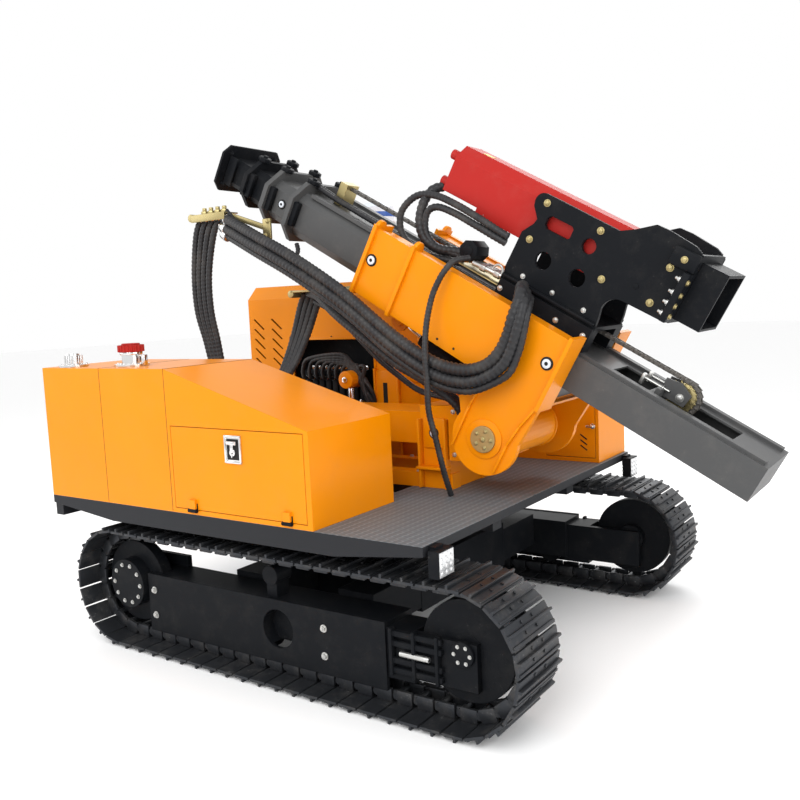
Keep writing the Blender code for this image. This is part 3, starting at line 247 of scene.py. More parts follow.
def bar(shape, start, end, radius, sides, end_radius=None, ease=0.0):
    """A round bar or cone between two points, with its rims eased."""
    line = Vector(end) - Vector(start)
    verts = bmesh.ops.create_cone(shape, cap_ends=True, segments=sides, radius1=radius, depth=line.length,
                                  radius2=radius if end_radius is None else end_radius)["verts"]
    bmesh.ops.rotate(shape, matrix=line.to_track_quat("Z", "Y").to_matrix(), verts=verts)
    bmesh.ops.translate(shape, vec=(Vector(start) + Vector(end)) / 2, verts=verts)
    if ease:
        ease_edges(shape, verts, ease, least=50)


def ring(count, start=0.0):
    """Cosine and sine of each of a few even steps round a circle."""
    turns = [math.tau * index / count + start for index in range(count)]
    return [(math.cos(turn), math.sin(turn)) for turn in turns]


def bolt(shape, at, axis, size, stub=0.0):
    """A hexagon head on a washer, standing off a face along an axis, with a thread end if it is a stud."""
    at, axis = Vector(at), Vector(axis).normalized()
    bar(shape, at - axis * 0.001, at + axis * size * 0.22, size * 1.35, 16)
    bar(shape, at + axis * size * 0.2, at + axis * size * 0.95, size, 6, ease=size * 0.08)
    if stub:
        bar(shape, at + axis * size * 0.9, at + axis * (size * 0.95 + stub), size * 0.55, 10, ease=size * 0.1)


def plank(shape, start, end, near, far, thick):
    """A flat bar on edge between two points in X and Z, from one Y to another."""
    line = Vector((end[0] - start[0], 0, end[1] - start[1]))
    verts = bmesh.ops.create_cube(shape, size=1.0)["verts"]
    bmesh.ops.scale(shape, vec=(line.length + thick * 0.5, abs(far - near), thick), verts=verts)
    bmesh.ops.rotate(shape, matrix=Matrix.Rotation(-math.atan2(line.z, line.x), 3, "Y"), verts=verts)
    middle = ((start[0] + end[0]) / 2, (near + far) / 2, (start[1] + end[1]) / 2)
    bmesh.ops.translate(shape, vec=middle, verts=verts)
    ease_edges(shape, verts, min(thick, abs(far - near)) * 0.2)


frame_bolts = bmesh.new()
for side in (-1, 1):
    for along, height in ((-0.80, 0.298), (-0.80, 0.170), (0.294, 0.294), (0.293, 0.170)):
        bolt(frame_bolts, (along, side * 1.0, height), (0, side, 0), 0.013, 0.004)
    for x, z in ring(10):
        bolt(frame_bolts, (-AXLE + 0.098 * x, side * 1.02, AXLE_HEIGHT + 0.098 * z), (0, side, 0), 0.008)
piece("frame_bolts", frame_bolts, "undercarriage", zinc)

# ---- Tracks: steel shoes bolted to a link chain, polished on the grousers by the ground.
# Each shoe is a rolled plate with one tall grouser and a low rib, held by four bolts to a pair of links.
# The chain runs straight between the axles, below and above, and round a half turn at each end.
shoe_steel = coated("shoe_steel", (0.046, 0.049, 0.055), 0.38, metallic=0.75, worn=(0.42, 0.42, 0.43),
                    wear=0.9, dust=0.5, ease=0)
SHOES, WRAP = 57, 0.294
STRAIGHT, BEND = 2 * AXLE, math.pi * WRAP
spacing = 2 * (STRAIGHT + BEND) / SHOES


def gather(whole, lone, place):
    """Adds one of many like parts to a joined shape, in its place."""
    bmesh.ops.transform(lone, matrix=place, verts=lone.verts)
    carrier = bpy.data.meshes.new("carrier")
    lone.to_mesh(carrier)
    lone.free()
    whole.from_mesh(carrier)
    bpy.data.meshes.remove(carrier)


for label, side in (("right", -1), ("left", 1)):
    shoes = bmesh.new()
    for index in range(SHOES):
        lone = bmesh.new()
        block(lone, (-0.046, -0.175, 0.281), (0.046, 0.175, 0.2935), 0.002)
        block(lone, (-0.0145, -0.175, 0.29), (-0.0025, 0.175, 0.3097), 0.0025)
        block(lone, (0.030, -0.170, 0.29), (0.040, 0.170, 0.299), 0.002)
        for across in (-0.045, 0.045):
            for along in (-0.030, 0.013):
                bar(lone, (along, across, 0.2925), (along, across, 0.2985), 0.0075, 6)
            block(lone, (-0.047, across - 0.014, 0.222), (0.030, across + 0.004, 0.2815), 0.006)
            block(lone, (0.006, across - 0.004, 0.228), (0.055, across + 0.014, 0.270), 0.006)
        bar(lone, (0.030, -0.058, 0.248), (0.030, 0.058, 0.248), 0.017, 14)
        run = (index + 0.5) * spacing
        if run < STRAIGHT:
            along, turn = -AXLE + run, 0.0
        elif run < STRAIGHT + BEND:
            along, turn = AXLE, (run - STRAIGHT) / WRAP
        elif run < 2 * STRAIGHT + BEND:
            along, turn = AXLE - (run - STRAIGHT - BEND), math.pi
        else:
            along, turn = -AXLE, math.pi + (run - 2 * STRAIGHT - BEND) / WRAP
        gather(shoes, lone, Matrix.Translation((along, 0, AXLE_HEIGHT)) @ Matrix.Rotation(turn, 4, "Y"))
    bmesh.ops.translate(shoes, vec=(0, side * 0.925, 0), verts=shoes.verts)
    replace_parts(piece("track_shoes_" + label, shoes, "undercarriage", shoe_steel), "track_" + label)

# ---- Deck: tread plate over channel beams.
# Rolled five-bar steel plate, grey and scuffed by boots, with black beams round its edge.
SHEET_TOP = 0.7512


def bars(wire, place):
    """Short raised bars that cross each other in turn, as on rolled tread plate."""
    heights = []
    for angle, offset in ((math.pi / 4, 0.0), (-math.pi / 4, 0.5)):
        turned = wire.node("Mapping", {"Vector": place, "Rotation": (0, 0, angle),
                                       "Scale": (19.0, 38.0, 1.0), "Location": (offset, offset, 0)})
        along = wire.node("SeparateXYZ", {0: turned}, out=0)
        across = wire.node("SeparateXYZ", {0: turned}, out=1)
        ridge = wire.maths("ABSOLUTE", wire.maths("SUBTRACT", wire.maths("FRACT", across), 0.5))
        length = wire.maths("ABSOLUTE", wire.maths("SUBTRACT", wire.maths("FRACT", along), 0.5))
        bump = wire.maths("SMOOTH_MIN", 1 - ridge * 6.0, 1 - length * 3.2)
        heights.append(wire.maths("MAXIMUM", bump, 0.0))
    top = wire.maths("GREATER_THAN", wire.node("SeparateXYZ", {0: place}, out=2), SHEET_TOP)
    return wire.maths("MAXIMUM", heights[0], heights[1]) * top


tread = coated("tread_plate", (0.130, 0.160, 0.178), 0.50, metallic=0.25, worn=(0.30, 0.31, 0.33), wear=0.5,
               peel=1.0, dust=0.08, height=bars)
# The bars are scuffed brighter than the sheet, and all that is below the top of the sheet is black.
wire = Wire(tread.node_tree)
spot = wire.node("TexCoord", out=3)
colour_input = tread.node_tree.nodes["Principled BSDF"].inputs["Base Color"]
sheet = Wire(tread.node_tree, colour_input.links[0].from_socket)
sheet = (bars(wire, spot) * 0.75).mix(sheet, (0.33, 0.37, 0.40, 1))
below = wire.maths("LESS_THAN", wire.node("SeparateXYZ", {0: spot}, out=2), SHEET_TOP)
tread.node_tree.links.new(below.mix(sheet, (0.018, 0.019, 0.022, 1)).socket, colour_input)
dress(tread, "deck")


# ---- Hoses: rubber hydraulic lines in a spiral guard, clamped to the mast and free between the clamps.
# They run from the deck up to the mast and on to the hammer in loops that on the rig give way as the mast
# moves; here those between two bodies are fixed as drawn.
rubber = coated("hose_guard", (0.020, 0.020, 0.022), 0.42, coat=0.1, dust=0.35, ease=0, peel=0.3)
chrome = coated("chrome", (0.80, 0.80, 0.80), 0.07, metallic=1.0, dust=0.03, peel=0.02, ease=0.002)
dress(chrome, "fuel_cap", "breather_neck", "tool_box_latch", "tilt_rod")


def route(points, step):
    """A smooth line through a few points, with a point every step."""
    points = [Vector(p) for p in points]
    points = [2 * points[0] - points[1]] + points + [2 * points[-1] - points[-2]]
    fine = []
    for a, b, c, d in zip(points, points[1:], points[2:], points[3:]):
        for index in range(24):
            t = index / 24
            bend = (2 * a - 5 * b + 4 * c - d) * t * t + (3 * b - a - 3 * c + d) * t ** 3
            fine.append(0.5 * (2 * b + (c - a) * t + bend))
    fine.append(points[-2])
    placed, left = [fine[0]], step
    for a, b in zip(fine, fine[1:]):
        gap = (b - a).length
        while gap >= left > 0:
            a = a + (b - a).normalized() * left
            placed.append(a)
            gap, left = (b - a).length, step
        left -= gap
    return placed


def hose(name, points, radius, pitch, place=DECK, body=None, between=None, sides=3):
    """A guarded hose along a smooth line; it rides on one body, or, if it runs between two, is fixed in the
    world as drawn.
    """
    line = [place @ p for p in route(points, pitch)]
    curve = bpy.data.curves.new(name, "CURVE")
    curve.dimensions = "3D"
    curve.bevel_depth = radius
    curve.bevel_resolution = sides
    curve.use_fill_caps = True
    spline = curve.splines.new("POLY")
    spline.points.add(len(line) - 1)
    for index, (point, at) in enumerate(zip(spline.points, line)):
        point.co = (*at, 1)
        point.radius = 0.87 if index % 3 == 2 else 1.0
    carrier = bpy.data.objects.new(name, curve)
    bpy.context.scene.collection.objects.link(carrier)
    bpy.context.view_layer.update()
    mesh = bpy.data.meshes.new_from_object(carrier.evaluated_get(bpy.context.evaluated_depsgraph_get()))
    bpy.data.objects.remove(carrier)
    mesh.materials.clear()
    mesh.materials.append(rubber)
    mesh.shade_smooth()
    made = bpy.data.objects.new(name, mesh)
    bpy.context.scene.collection.objects.link(made)
    if between:
        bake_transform(made)
    else:
        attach(made, body)


def fitting(shape, at, towards, radius):
    """A swaged ferrule and hexagon nut on a hose's end, from the end back along the hose."""
    at, towards = Vector(at), (Vector(towards) - Vector(at)).normalized()
    bar(shape, at - towards * 0.014, at + towards * 0.008, radius * 1.05, 6, ease=0.001)
    bar(shape, at + towards * 0.006, at + towards * 0.045, radius * 1.18, 16, ease=0.002)


over = [(-0.885, -0.27, 2.186), (-0.579, -0.35, 2.056), (-0.291, -0.39, 1.922), (0.021, -0.402, 1.737),
        (0.285, -0.408, 1.542), (0.465, -0.412, 1.432), (0.594, -0.415, 1.378), (0.714, -0.415, 1.362),
        (0.811, -0.412, 1.385), (0.875, -0.406, 1.44), (0.917, -0.402, 1.514), (0.943, -0.402, 1.585),
        (0.962, -0.385, 1.648), (0.956, -0.345, 1.694), (0.928, -0.28, 1.715), (0.897, -0.212, 1.7214)]
ends = bmesh.new()
# The three hoses lie one above another, spread past the loop's lowest point and close up again at the hammer.
bundle = ((0.0, 0.0, 0.030), (-0.054, 0.010, 0.027), (-0.095, 0.004, 0.017))
for index, (drop, out, thick) in enumerate(bundle):
    line = []
    for n, (x, y, z) in enumerate(over):
        line.append((x + 0.02 * index * (n > 8), y - out, z + drop * (1 - 0.45 * (n > 11))))
    hose(f"mast_hose_{index + 1}", line, thick, pitch=0.0085,
         between=("mast_boom", "hammer", (0.55, -0.38, 1.40), (0.90, -0.25, 1.68)))
    fitting(ends, line[0], line[1], 0.024)
for index in range(4):
    shift = index * 0.052
    line = [(-1.05 + shift, -0.25, 2.205), (-1.075 + shift, -0.255, 2.19), (-1.11 + shift * 0.9, -0.27, 2.10),
            (-1.135 + shift * 0.75, -0.28, 1.88), (-1.13 + shift * 0.7, -0.28, 1.68),
            (-1.09 + shift * 0.6, -0.27, 1.51), (-1.04 + shift * 0.5, -0.27, 1.34),
            (-0.93 + shift * 0.4, -0.29, 1.18), (-0.78, -0.33 + index * 0.018, 1.11),
            (-0.63 - shift * 0.1, -0.31, 1.16), (-0.565 + shift * 0.4, -0.23, 1.32),
            (-0.545 + shift * 0.6, -0.14, 1.50), (-0.51 + shift * 0.75, -0.10, 1.68),
            (-0.47 + shift * 0.7, -0.10, 1.752)]
    hose(f"gantry_hose_{index + 1}", line, 0.019, pitch=0.0075,
         between=("mast_boom", "mast_sleeve", (-1.0, -0.25, 1.3), (-0.62, -0.12, 1.2)))
    fitting(ends, line[0], line[1], 0.019)
lower = [(-0.42, -0.13, 1.745), (-0.30, -0.20, 1.72), (-0.10, -0.30, 1.62), (0.10, -0.34, 1.50),
         (0.28, -0.35, 1.385), (0.40, -0.34, 1.32), (0.50, -0.31, 1.25), (0.555, -0.27, 1.19),
         (0.58, -0.235, 1.12)]
for index, lift in enumerate((0.0, 0.045)):
    line = [(x, y + 0.02 * index, z + lift * (1 - n / 9)) for n, (x, y, z) in enumerate(lower)]
    hose(f"beam_hose_{index + 1}", line, 0.021, pitch=0.0075,
         between=("mast_sleeve", "slide_beam", (0.15, -0.34, 1.45), (0.55, -0.26, 1.18)))
for index in range(2):
    out = index * 0.03
    line = [(-0.36, -0.13 - out, 1.70), (-0.20, -0.17 - out, 1.632), (-0.02, -0.19 - out, 1.49),
            (0.08, -0.17 - out, 1.385), (0.16, -0.13 - index * 0.02, 1.30),
            (0.26, -0.12, 1.235 - index * 0.01), (0.40, -0.11 - out, 1.20), (0.475, -0.12 - out, 1.185)]
    hose(f"cylinder_hose_{index + 1}", line, 0.0115, pitch=0.006,
         between=("mast_sleeve", "slide_beam", (-0.05, -0.2, 1.52), (0.38, -0.12, 1.2)))
line = [(0.66, -0.27, 1.862), (0.625, -0.34, 1.850), (0.590, -0.375, 1.805), (0.555, -0.39, 1.745),
        (0.529, -0.40, 1.679), (0.514, -0.425, 1.567), (0.520, -0.455, 1.441), (0.525, -0.455, 1.309),
        (0.511, -0.43, 1.172), (0.525, -0.40, 1.035), (0.536, -0.36, 0.878), (0.540, -0.31, 0.757)]
hose("drain_hose", line, 0.0145, pitch=0.006,
     between=("mast_sleeve", "slide_beam", (0.52, -0.42, 1.5), (0.53, -0.4, 1.0)))

# These are the hammer's own lines, the loop under the boom and the pair of pipes along the boom's top.
line = [(0.424, -0.085, 2.222), (0.385, -0.12, 2.205), (0.345, -0.14, 2.15), (0.325, -0.15, 2.06),
        (0.350, -0.15, 1.975), (0.43, -0.15, 1.92), (0.53, -0.14, 1.90), (0.60, -0.13, 1.865)]
hose("hammer_line_1", line, 0.025, pitch=0.0085, body="hammer")
line = [(0.815, -0.178, 1.948), (0.76, -0.185, 1.985), (0.66, -0.18, 2.05), (0.54, -0.165, 2.12),
        (0.42, -0.15, 2.175), (0.31, -0.145, 2.185), (0.225, -0.15, 2.125), (0.21, -0.15, 2.035),
        (0.26, -0.15, 1.955), (0.35, -0.15, 1.90), (0.47, -0.15, 1.865), (0.56, -0.14, 1.845)]
hose("hammer_line_2", line, 0.018, pitch=0.007, body="hammer")
line = [(0.80, -0.175, 1.922), (0.74, -0.185, 1.96), (0.64, -0.18, 2.02), (0.53, -0.16, 2.08),
        (0.43, -0.15, 2.12), (0.37, -0.15, 2.10), (0.355, -0.15, 2.02), (0.40, -0.15, 1.945),
        (0.49, -0.15, 1.90), (0.58, -0.14, 1.87)]
hose("hammer_line_3", line, 0.018, pitch=0.007, body="hammer")
# The mast leans about its pivot, and what is drawn on it is laid out along it.
LEAN = DECK @ Matrix.Translation((0.74, 0, 1.04)) @ Matrix.Rotation(math.radians(29.6), 4, "Y")
line = [(-1.97, -0.27, 0.235), (-1.90, -0.27, 0.215), (-1.78, -0.27, 0.175), (-1.64, -0.27, 0.15),
        (-1.52, -0.26, 0.155), (-1.455, -0.24, 0.19), (-1.46, -0.21, 0.235), (-1.50, -0.19, 0.262)]
hose("boom_loop", line, 0.0125, pitch=0.006, place=LEAN, body="mast_boom")
for index, across in enumerate((-0.0655, -0.0935)):
    line = [(-1.59, across, 0.562), (-1.45, across, 0.553), (-1.2, across, 0.549), (-0.8, across, 0.549),
            (-0.3, across, 0.549), (0.10, across, 0.551)]
    hose(f"boom_line_{index + 1}", line, 0.0135, pitch=0.006, place=LEAN, body="mast_boom")
piece("hose_fittings", ends, "mast_boom", chrome)

# ---- Hose brackets: folded zinc-plated arms that hold the hose ends out from the mast.
# One reaches back from the boom's rear collar, the other hangs from the sleeve's rear flange.
olive = coated("yellow_zinc", (0.46, 0.38, 0.18), 0.32, metallic=0.85, dust=0.1)
dress(olive, "mast_pivot_pin", "chain_sprocket", "chain_anchor")
arm = bmesh.new()
block(arm, (-1.10, -0.31, 2.203), (-0.84, -0.20, 2.211), 0.003)
block(arm, (-1.10, -0.312, 2.170), (-0.84, -0.304, 2.211), 0.003)
bar(arm, (-1.105, -0.31, 2.196), (-1.105, -0.20, 2.196), 0.022, 20, ease=0.003)
plank(arm, (-0.88, 2.205), (-0.56, 2.095), -0.268, -0.256, 0.030)
block(arm, (-0.60, -0.270, 2.04), (-0.545, -0.254, 2.15), 0.004)
for along, height in ((-0.865, 2.20), (-0.585, 2.06), (-0.56, 2.135)):
    bolt(arm, (along, -0.270, height), (0, -1, 0), 0.010)
for along in (-1.05, -0.998, -0.946, -0.894):
    bar(arm, (along, -0.25, 2.211), (along, -0.25, 2.232), 0.022, 6, ease=0.002)
    bar(arm, (along, -0.25, 2.230), (along, -0.25, 2.250), 0.013, 14, ease=0.002)
piece("hose_arm", arm, "mast_boom", olive)
arm = bmesh.new()
block(arm, (-0.51, -0.18, 1.752), (-0.33, -0.05, 1.762), 0.003)
bar(arm, (-0.51, -0.18, 1.745), (-0.51, -0.05, 1.745), 0.020, 20, ease=0.002)
block(arm, (-0.36, -0.15, 1.740), (-0.02, -0.13, 1.770), 0.004)
block(arm, (-0.03, -0.16, 1.71), (0.005, -0.12, 1.80), 0.004)
for across in (-0.16, -0.115, -0.07):
    fitting(arm, (-0.34, across, 1.752), (-0.25, across - 0.03, 1.735), 0.016)
piece("sleeve_arm", arm, "mast_sleeve", olive)

# ---- Mast sleeve: pad adjusters, stiffening ribs, lifting ears and the pivot's cover with its bolts.
# The same parts are welded and bolted to both side plates.
# Painted shade: a near-black finish for thin sheets, strips and discs laid over holes, slots, seams and gaps,
# standing in for the shade inside them.
painted_shade = coated("painted_gap_shade", (0.010, 0.010, 0.010), 0.6, dust=0.1, ease=0)
white = coated("white_plastic", (0.72, 0.76, 0.82), 0.22, coat=0.3, dust=0.05)
dress(white, "air_precleaner")
CHEEK = 0.329


def adjuster(holes, heads, at, side, size=1.0):
    """A pad's hexagon-socket adjuster on a side face; its dark ring and socket go into the first shape, which
    is drawn in painted shade.
    """
    for shape, low, high, radius, sides, ease in ((holes, -0.001, 0.004, 0.030, 28, 0.001),
                                                  (heads, 0.003, 0.008, 0.021, 24, 0.001),
                                                  (holes, 0.006, 0.0085, 0.0095, 6, 0.0)):
        near, far = (at[0], at[1] + side * low, at[2]), (at[0], at[1] + side * high, at[2])
        bar(shape, near, far, radius * size, sides, ease=ease)


welds, heads, holes, covers = (bmesh.new() for _ in range(4))
for side in (-1, 1):
    face = side * CHEEK
    for along, height in ((-0.925, 0.444), (0.109, 0.458)):
        adjuster(holes, heads, (along, side * 0.33, height), side)
    for along, height, size in ((-0.427, 0.285, 0.006), (-0.329, 0.287, 0.006), (-0.028, 0.307, 0.009)):
        bar(holes, (along, face, height), (along, side * 0.3312, height), size, 16)
    for line in (((-0.128, -0.108), (-0.133, 0.098), (-0.127, 0.178), (-0.053, 0.305)),
                 ((0.113, -0.110), (0.113, 0.041), (0.128, 0.149), (0.158, 0.262))):
        for start, end in zip(line, line[1:]):
            plank(welds, start, end, face, side * 0.347, 0.011)
    for along in (-0.975, -0.735):
        bar(welds, (along, side * 0.302, 0.598), (along + 0.020, side * 0.302, 0.598), 0.036, 28, ease=0.002)
    bar(welds, (0, face, 0), (0, side * 0.3365, 0), 0.092, 40, ease=0.003)
    for x, z in ring(5, 0.4):
        bolt(covers, (0.040 * x, side * 0.348, 0.040 * z), (0, side, 0), 0.0075)
    bar(covers, (0, side * 0.347, 0), (0, side * 0.353, 0), 0.013, 20, ease=0.002)
    bar(covers, (0, side * 0.352, 0), (0, side * 0.361, 0), 0.004, 10, ease=0.001)
    flank(covers, side, (-0.983, 0.24, 0.34), (-0.977, 0.33, 0.55), 0.002)
    for height in (0.37, 0.52):
        bolt(covers, (-0.983, side * 0.285, height), (-1, 0, 0), 0.010)
piece("sleeve_ribs", welds, "mast_sleeve", orange, place=LEAN)
# The holes and the adjusters' rings and sockets are dark discs of painted shade.
piece("sleeve_hole_shade", holes, "mast_sleeve", painted_shade, place=LEAN)
piece("sleeve_adjusters", heads, "mast_sleeve", white, place=LEAN)
piece("sleeve_covers", covers, "mast_sleeve", olive, place=LEAN)

# ---- Telescopic sections: pad adjusters and black pad boxes on the collars, corner bolts on the head plate.
# Each section is a little smaller than the one it slides in, so its collar's fittings follow its size.
grey = coated("mast_grey", (0.072, 0.073, 0.074), 0.42, coat=0.05, worn=(0.3, 0.3, 0.29), wear=0.3, dust=0.2)
dress(grey, "mast_boom", "mast_foot", "mast_section_two")
for body, rear, half, top in (("mast_boom", -1.60, 0.20, 0.52), ("mast_section_two", -1.80, 0.186, 0.506),
                              ("mast_section_three", -1.975, 0.172, 0.492)):
    plates = bmesh.new()
    for side in (-1, 1):
        along, across = rear + 0.014, side * 0.115
        bar(plates, (along, across, top + 0.046), (along, across, top + 0.070), 0.036, 8, ease=0.004)
        bar(plates, (along, across, top + 0.068), (along, across, top + 0.080), 0.014, 6, ease=0.002)
        for height in (0.345, 0.455):
            bolt(plates, (rear + 0.001, side * (half + 0.025), height), (-1, 0, 0), 0.009)
        flank(plates, side, (rear + 0.027, half + 0.002, 0.34), (rear + 0.060, half + 0.034, 0.47), 0.005)
    piece(body.replace("mast_", "") + "_pads", plates, body, black, place=LEAN)
holes, heads = bmesh.new(), bmesh.new()
for side in (-1, 1):
    adjuster(holes, heads, (-1.685, side * 0.186, 0.405), side, 0.85)
# The adjusters' rings and sockets are dark discs of painted shade.
piece("section_two_hole_shade", holes, "mast_section_two", painted_shade, place=LEAN)
piece("section_two_adjusters", heads, "mast_section_two", white, place=LEAN)
corners = bmesh.new()
for across in (-0.175, 0.175):
    for height in (0.325, 0.500):
        bolt(corners, (-2.170, across, height), (-1, 0, 0), 0.011)
        bolt(corners, (-2.156, across, height), (1, 0, 0), 0.011, 0.006)
    block(corners, (-2.150, across - 0.006, 0.33), (-2.09, across + 0.006, 0.49), 0.003)
piece("head_plate_bolts", corners, "mast_section_four", black, place=LEAN)

# ---- Feed chain: a roller chain over a toothed sprocket, its tensioner and the feed cylinder in the boom.
# Links follow the strand along the boom's top and round the sprocket.
chain_steel = coated("chain_steel", (0.14, 0.13, 0.12), 0.4, metallic=0.8, dust=0.3)
dress(chain_steel, "feed_chain")
# The sprocket's hub lies along the mast and above its pivot, and the links run round it at their own radius.
HUB, HUB_HEIGHT, LINK_RADIUS = 0.61, 0.545, 0.0743
STRAND, LINK = 2.03, 0.0254
links, wheel = bmesh.new(), bmesh.new()
for index in range(int((STRAND + math.pi * LINK_RADIUS) / LINK)):
    run = index * LINK
    turn = max(0.0, (run - STRAND) / LINK_RADIUS)
    along, height = HUB + LINK_RADIUS * math.sin(turn), HUB_HEIGHT + LINK_RADIUS * math.cos(turn)
    if run < STRAND:
        along = HUB - STRAND + run
    lone = bmesh.new()
    for side in (-1, 1):
        out = 0.0135 if index % 2 else 0.0105
        block(lone, (-0.005, side * out - 0.0013, -0.0085), (LINK + 0.005, side * out + 0.0013, 0.0085), 0)
    bar(lone, (0, -0.0095, 0), (0, 0.0095, 0), 0.0075, 10)
    bar(lone, (0, -0.0165, 0), (0, 0.0165, 0), 0.0036, 8)
    gather(links, lone, Matrix.Translation((along, 0, height)) @ Matrix.Rotation(turn, 4, "Y"))
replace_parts(piece("chain_links", links, "mast_boom", chain_steel, place=LEAN), "feed_chain")
bar(wheel, (HUB, -0.006, HUB_HEIGHT), (HUB, 0.006, HUB_HEIGHT), 0.062, 36, ease=0.001)
bar(wheel, (HUB, -0.025, HUB_HEIGHT), (HUB, 0.025, HUB_HEIGHT), 0.028, 24, ease=0.003)
for x, z in ring(18):
    root, tip = (HUB + 0.058 * x, 0, HUB_HEIGHT + 0.058 * z), (HUB + 0.078 * x, 0, HUB_HEIGHT + 0.078 * z)
    bar(wheel, root, tip, 0.0075, 8, end_radius=0.003)
for x, z in ring(5):
    along, height = HUB + 0.045 * x, HUB_HEIGHT + 0.045 * z
    bar(wheel, (along, -0.0075, height), (along, 0.0075, height), 0.008, 16)
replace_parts(piece("sprocket_wheel", wheel, "mast_boom", olive, place=LEAN), "chain_sprocket")
tension = bmesh.new()
for side in (-1, 1):
    bolt(tension, (HUB, side * 0.038, HUB_HEIGHT), (0, side, 0), 0.014)
    bar(tension, (0.43, side * 0.045, 0.549), (0.56, side * 0.045, 0.549), 0.006, 12)
    bolt(tension, (0.53, side * 0.045, 0.549), (-1, 0, 0), 0.010)
    flank(tension, side, (0.425, 0.03, 0.519), (0.44, 0.06, 0.566), 0.002)
bar(tension, (0.20, 0, 0.455), (0.96, 0, 0.455), 0.020, 24, ease=0.002)
bar(tension, (0.20, 0, 0.455), (0.62, 0, 0.455), 0.034, 28, ease=0.004)
for across in (-0.15, 0.15):
    for along in (0.24, 0.42, 0.62, 0.82, 0.98):
        bolt(tension, (along, across, 0.5195), (0, 0, 1), 0.007)
piece("chain_tensioner", tension, "mast_boom", zinc, place=LEAN)

# ---- Hydraulic hammer: side plate bolts, through bolts, the front flange's studs and its hose fittings.
# The same bolts and flanges are on both side plates; the fittings and the hose guide are on the right.
red = coated("red_paint", (0.40, 0.010, 0.006), 0.45, coat=0.0, peel=0.03, worn=(0.30, 0.12, 0.07), wear=0.15,
             dust=0.12)
dress(red, "breaker_body", "breather_cap")
gold, steel, dark, tag = (bmesh.new() for _ in range(4))
for side in (-1, 1):
    for along, height in ((-0.281, 1.036), (0.0, 1.034), (-0.287, 0.860), (0.100, 0.855), (0.342, 1.029),
                          (0.335, 0.864)):
        bolt(gold, (along, side * 0.165, height), (0, side, 0), 0.0125, 0.003)
    for along in (-0.311, -0.16, 0.001, 0.146):
        bolt(steel, (along, side * 0.185, 0.605), (0, side, 0), 0.010)
    for along in (-0.24, -0.077, 0.09):
        bolt(steel, (along, side * 0.165, 0.700), (0, side, 0), 0.009)
    flank(dark, side, (0.4135, 0.164, 0.828), (0.4425, 0.222, 1.045), 0.004)
    flank(dark, side, (0.325, 0.164, 1.045), (0.4425, 0.188, 1.125), 0.008)
    flank(dark, side, (-0.330, 0.164, 0.662), (0.165, 0.188, 0.676), 0.003)
    flank(dark, side, (-0.330, 0.184, 0.560), (0.175, 0.200, 0.572), 0.003)
    bolt(gold, (0.385, side * 0.188, 1.085), (0, side, 0), 0.011)
    for height in (0.858, 0.905, 0.952, 1.010):
        bolt(steel, (0.4135, side * 0.200, height), (-1, 0, 0), 0.0125, 0.012)
        bolt(gold, (0.4425, side * 0.200, height), (1, 0, 0), 0.010)
    bar(dark, (0.249, side * 0.164, 0.897), (0.249, side * 0.168, 0.897), 0.012, 18, ease=0.001)
for along, height in ((-0.281, 1.0475), (0.0, 1.0455)):
    bar(gold, (along, -0.1425, height), (along, 0.1425, height), 0.0135, 18)
for across in (-0.08, 0.08):
    for height in (0.90, 1.03):
        bar(dark, (-0.8755, across, height), (-0.874, across, height), 0.010, 16)
block(tag, (-0.74, -0.055, 1.0895), (-0.69, -0.005, 1.0912), 0)
fitting(steel, (-0.545, -0.085, 0.861), (-0.60, -0.11, 0.838), 0.022)
for across in (-0.10, -0.135, -0.165):
    bar(steel, (-0.50, across, 0.640), (-0.335, across, 0.652), 0.013, 14, ease=0.002)
    bar(steel, (-0.455, across, 0.643), (-0.425, across, 0.645), 0.020, 6, ease=0.002)
    bar(steel, (-0.375, across, 0.649), (-0.345, across, 0.651), 0.020, 6, ease=0.002)
block(gold, (-0.56, -0.185, 0.607), (-0.33, -0.075, 0.613), 0.002)
bar(dark, (-0.545, -0.175, 0.680), (-0.545, -0.055, 0.680), 0.052, 8, ease=0.006)
bar(dark, (-0.545, -0.180, 0.680), (-0.545, -0.050, 0.680), 0.026, 24, ease=0.004)
turns = [math.pi * index / 14 for index in range(15)]
arch = [(-0.36 + 0.026 * math.cos(turn), -0.178, 0.665 + 0.030 * math.sin(turn)) for turn in turns]
for start, end in zip(arch, arch[1:]):
    bar(steel, start, end, 0.006, 10)
piece("hammer_bolts", gold, "hammer", olive, place=LEAN)
piece("hammer_fittings", steel, "hammer", zinc, place=LEAN)
piece("hammer_flanges", dark, "hammer", black, place=LEAN)
label_sheet = coated("label", (0.75, 0.55, 0.08), 0.4, ease=0)
piece("hammer_tag", tag, "hammer", label_sheet, place=LEAN)

# ---- Tanks and tool box: the ribbed filler cap, the breather cap, and the door's T-handle lock.
# Thin strips of painted shade mark the seams between the fuel tank, the oil tank and the tool box, which
# stand wall to wall.
FILLER, BREATHER = (-1.28, -1.015), (-0.90, -0.95)
LATCH, SPINDLE = -0.0765, 1.058
caps, shut, lock, gap = (bmesh.new() for _ in range(4))
for index, (x, y) in enumerate(ring(20)):
    rib = (FILLER[0] + 0.0415 * x, FILLER[1] + 0.0415 * y)
    bar(caps, (*rib, 1.438), (*rib, 1.479), 0.004, 8)
    rib = (BREATHER[0] + 0.059 * x, BREATHER[1] + 0.059 * y)
    bar(shut, (*rib, 1.4925), (*rib, 1.5255), 0.006, 8)
    if index % 3 == 0:
        bolt(caps, (FILLER[0] + 0.062 * x, FILLER[1] + 0.062 * y, 1.4335), (0, 0, 1), 0.0055)
        bolt(caps, (BREATHER[0] + 0.069 * x, BREATHER[1] + 0.069 * y, 1.4335), (0, 0, 1), 0.006)
bar(caps, (*FILLER, 1.480), (*FILLER, 1.490), 0.034, 28, ease=0.003)
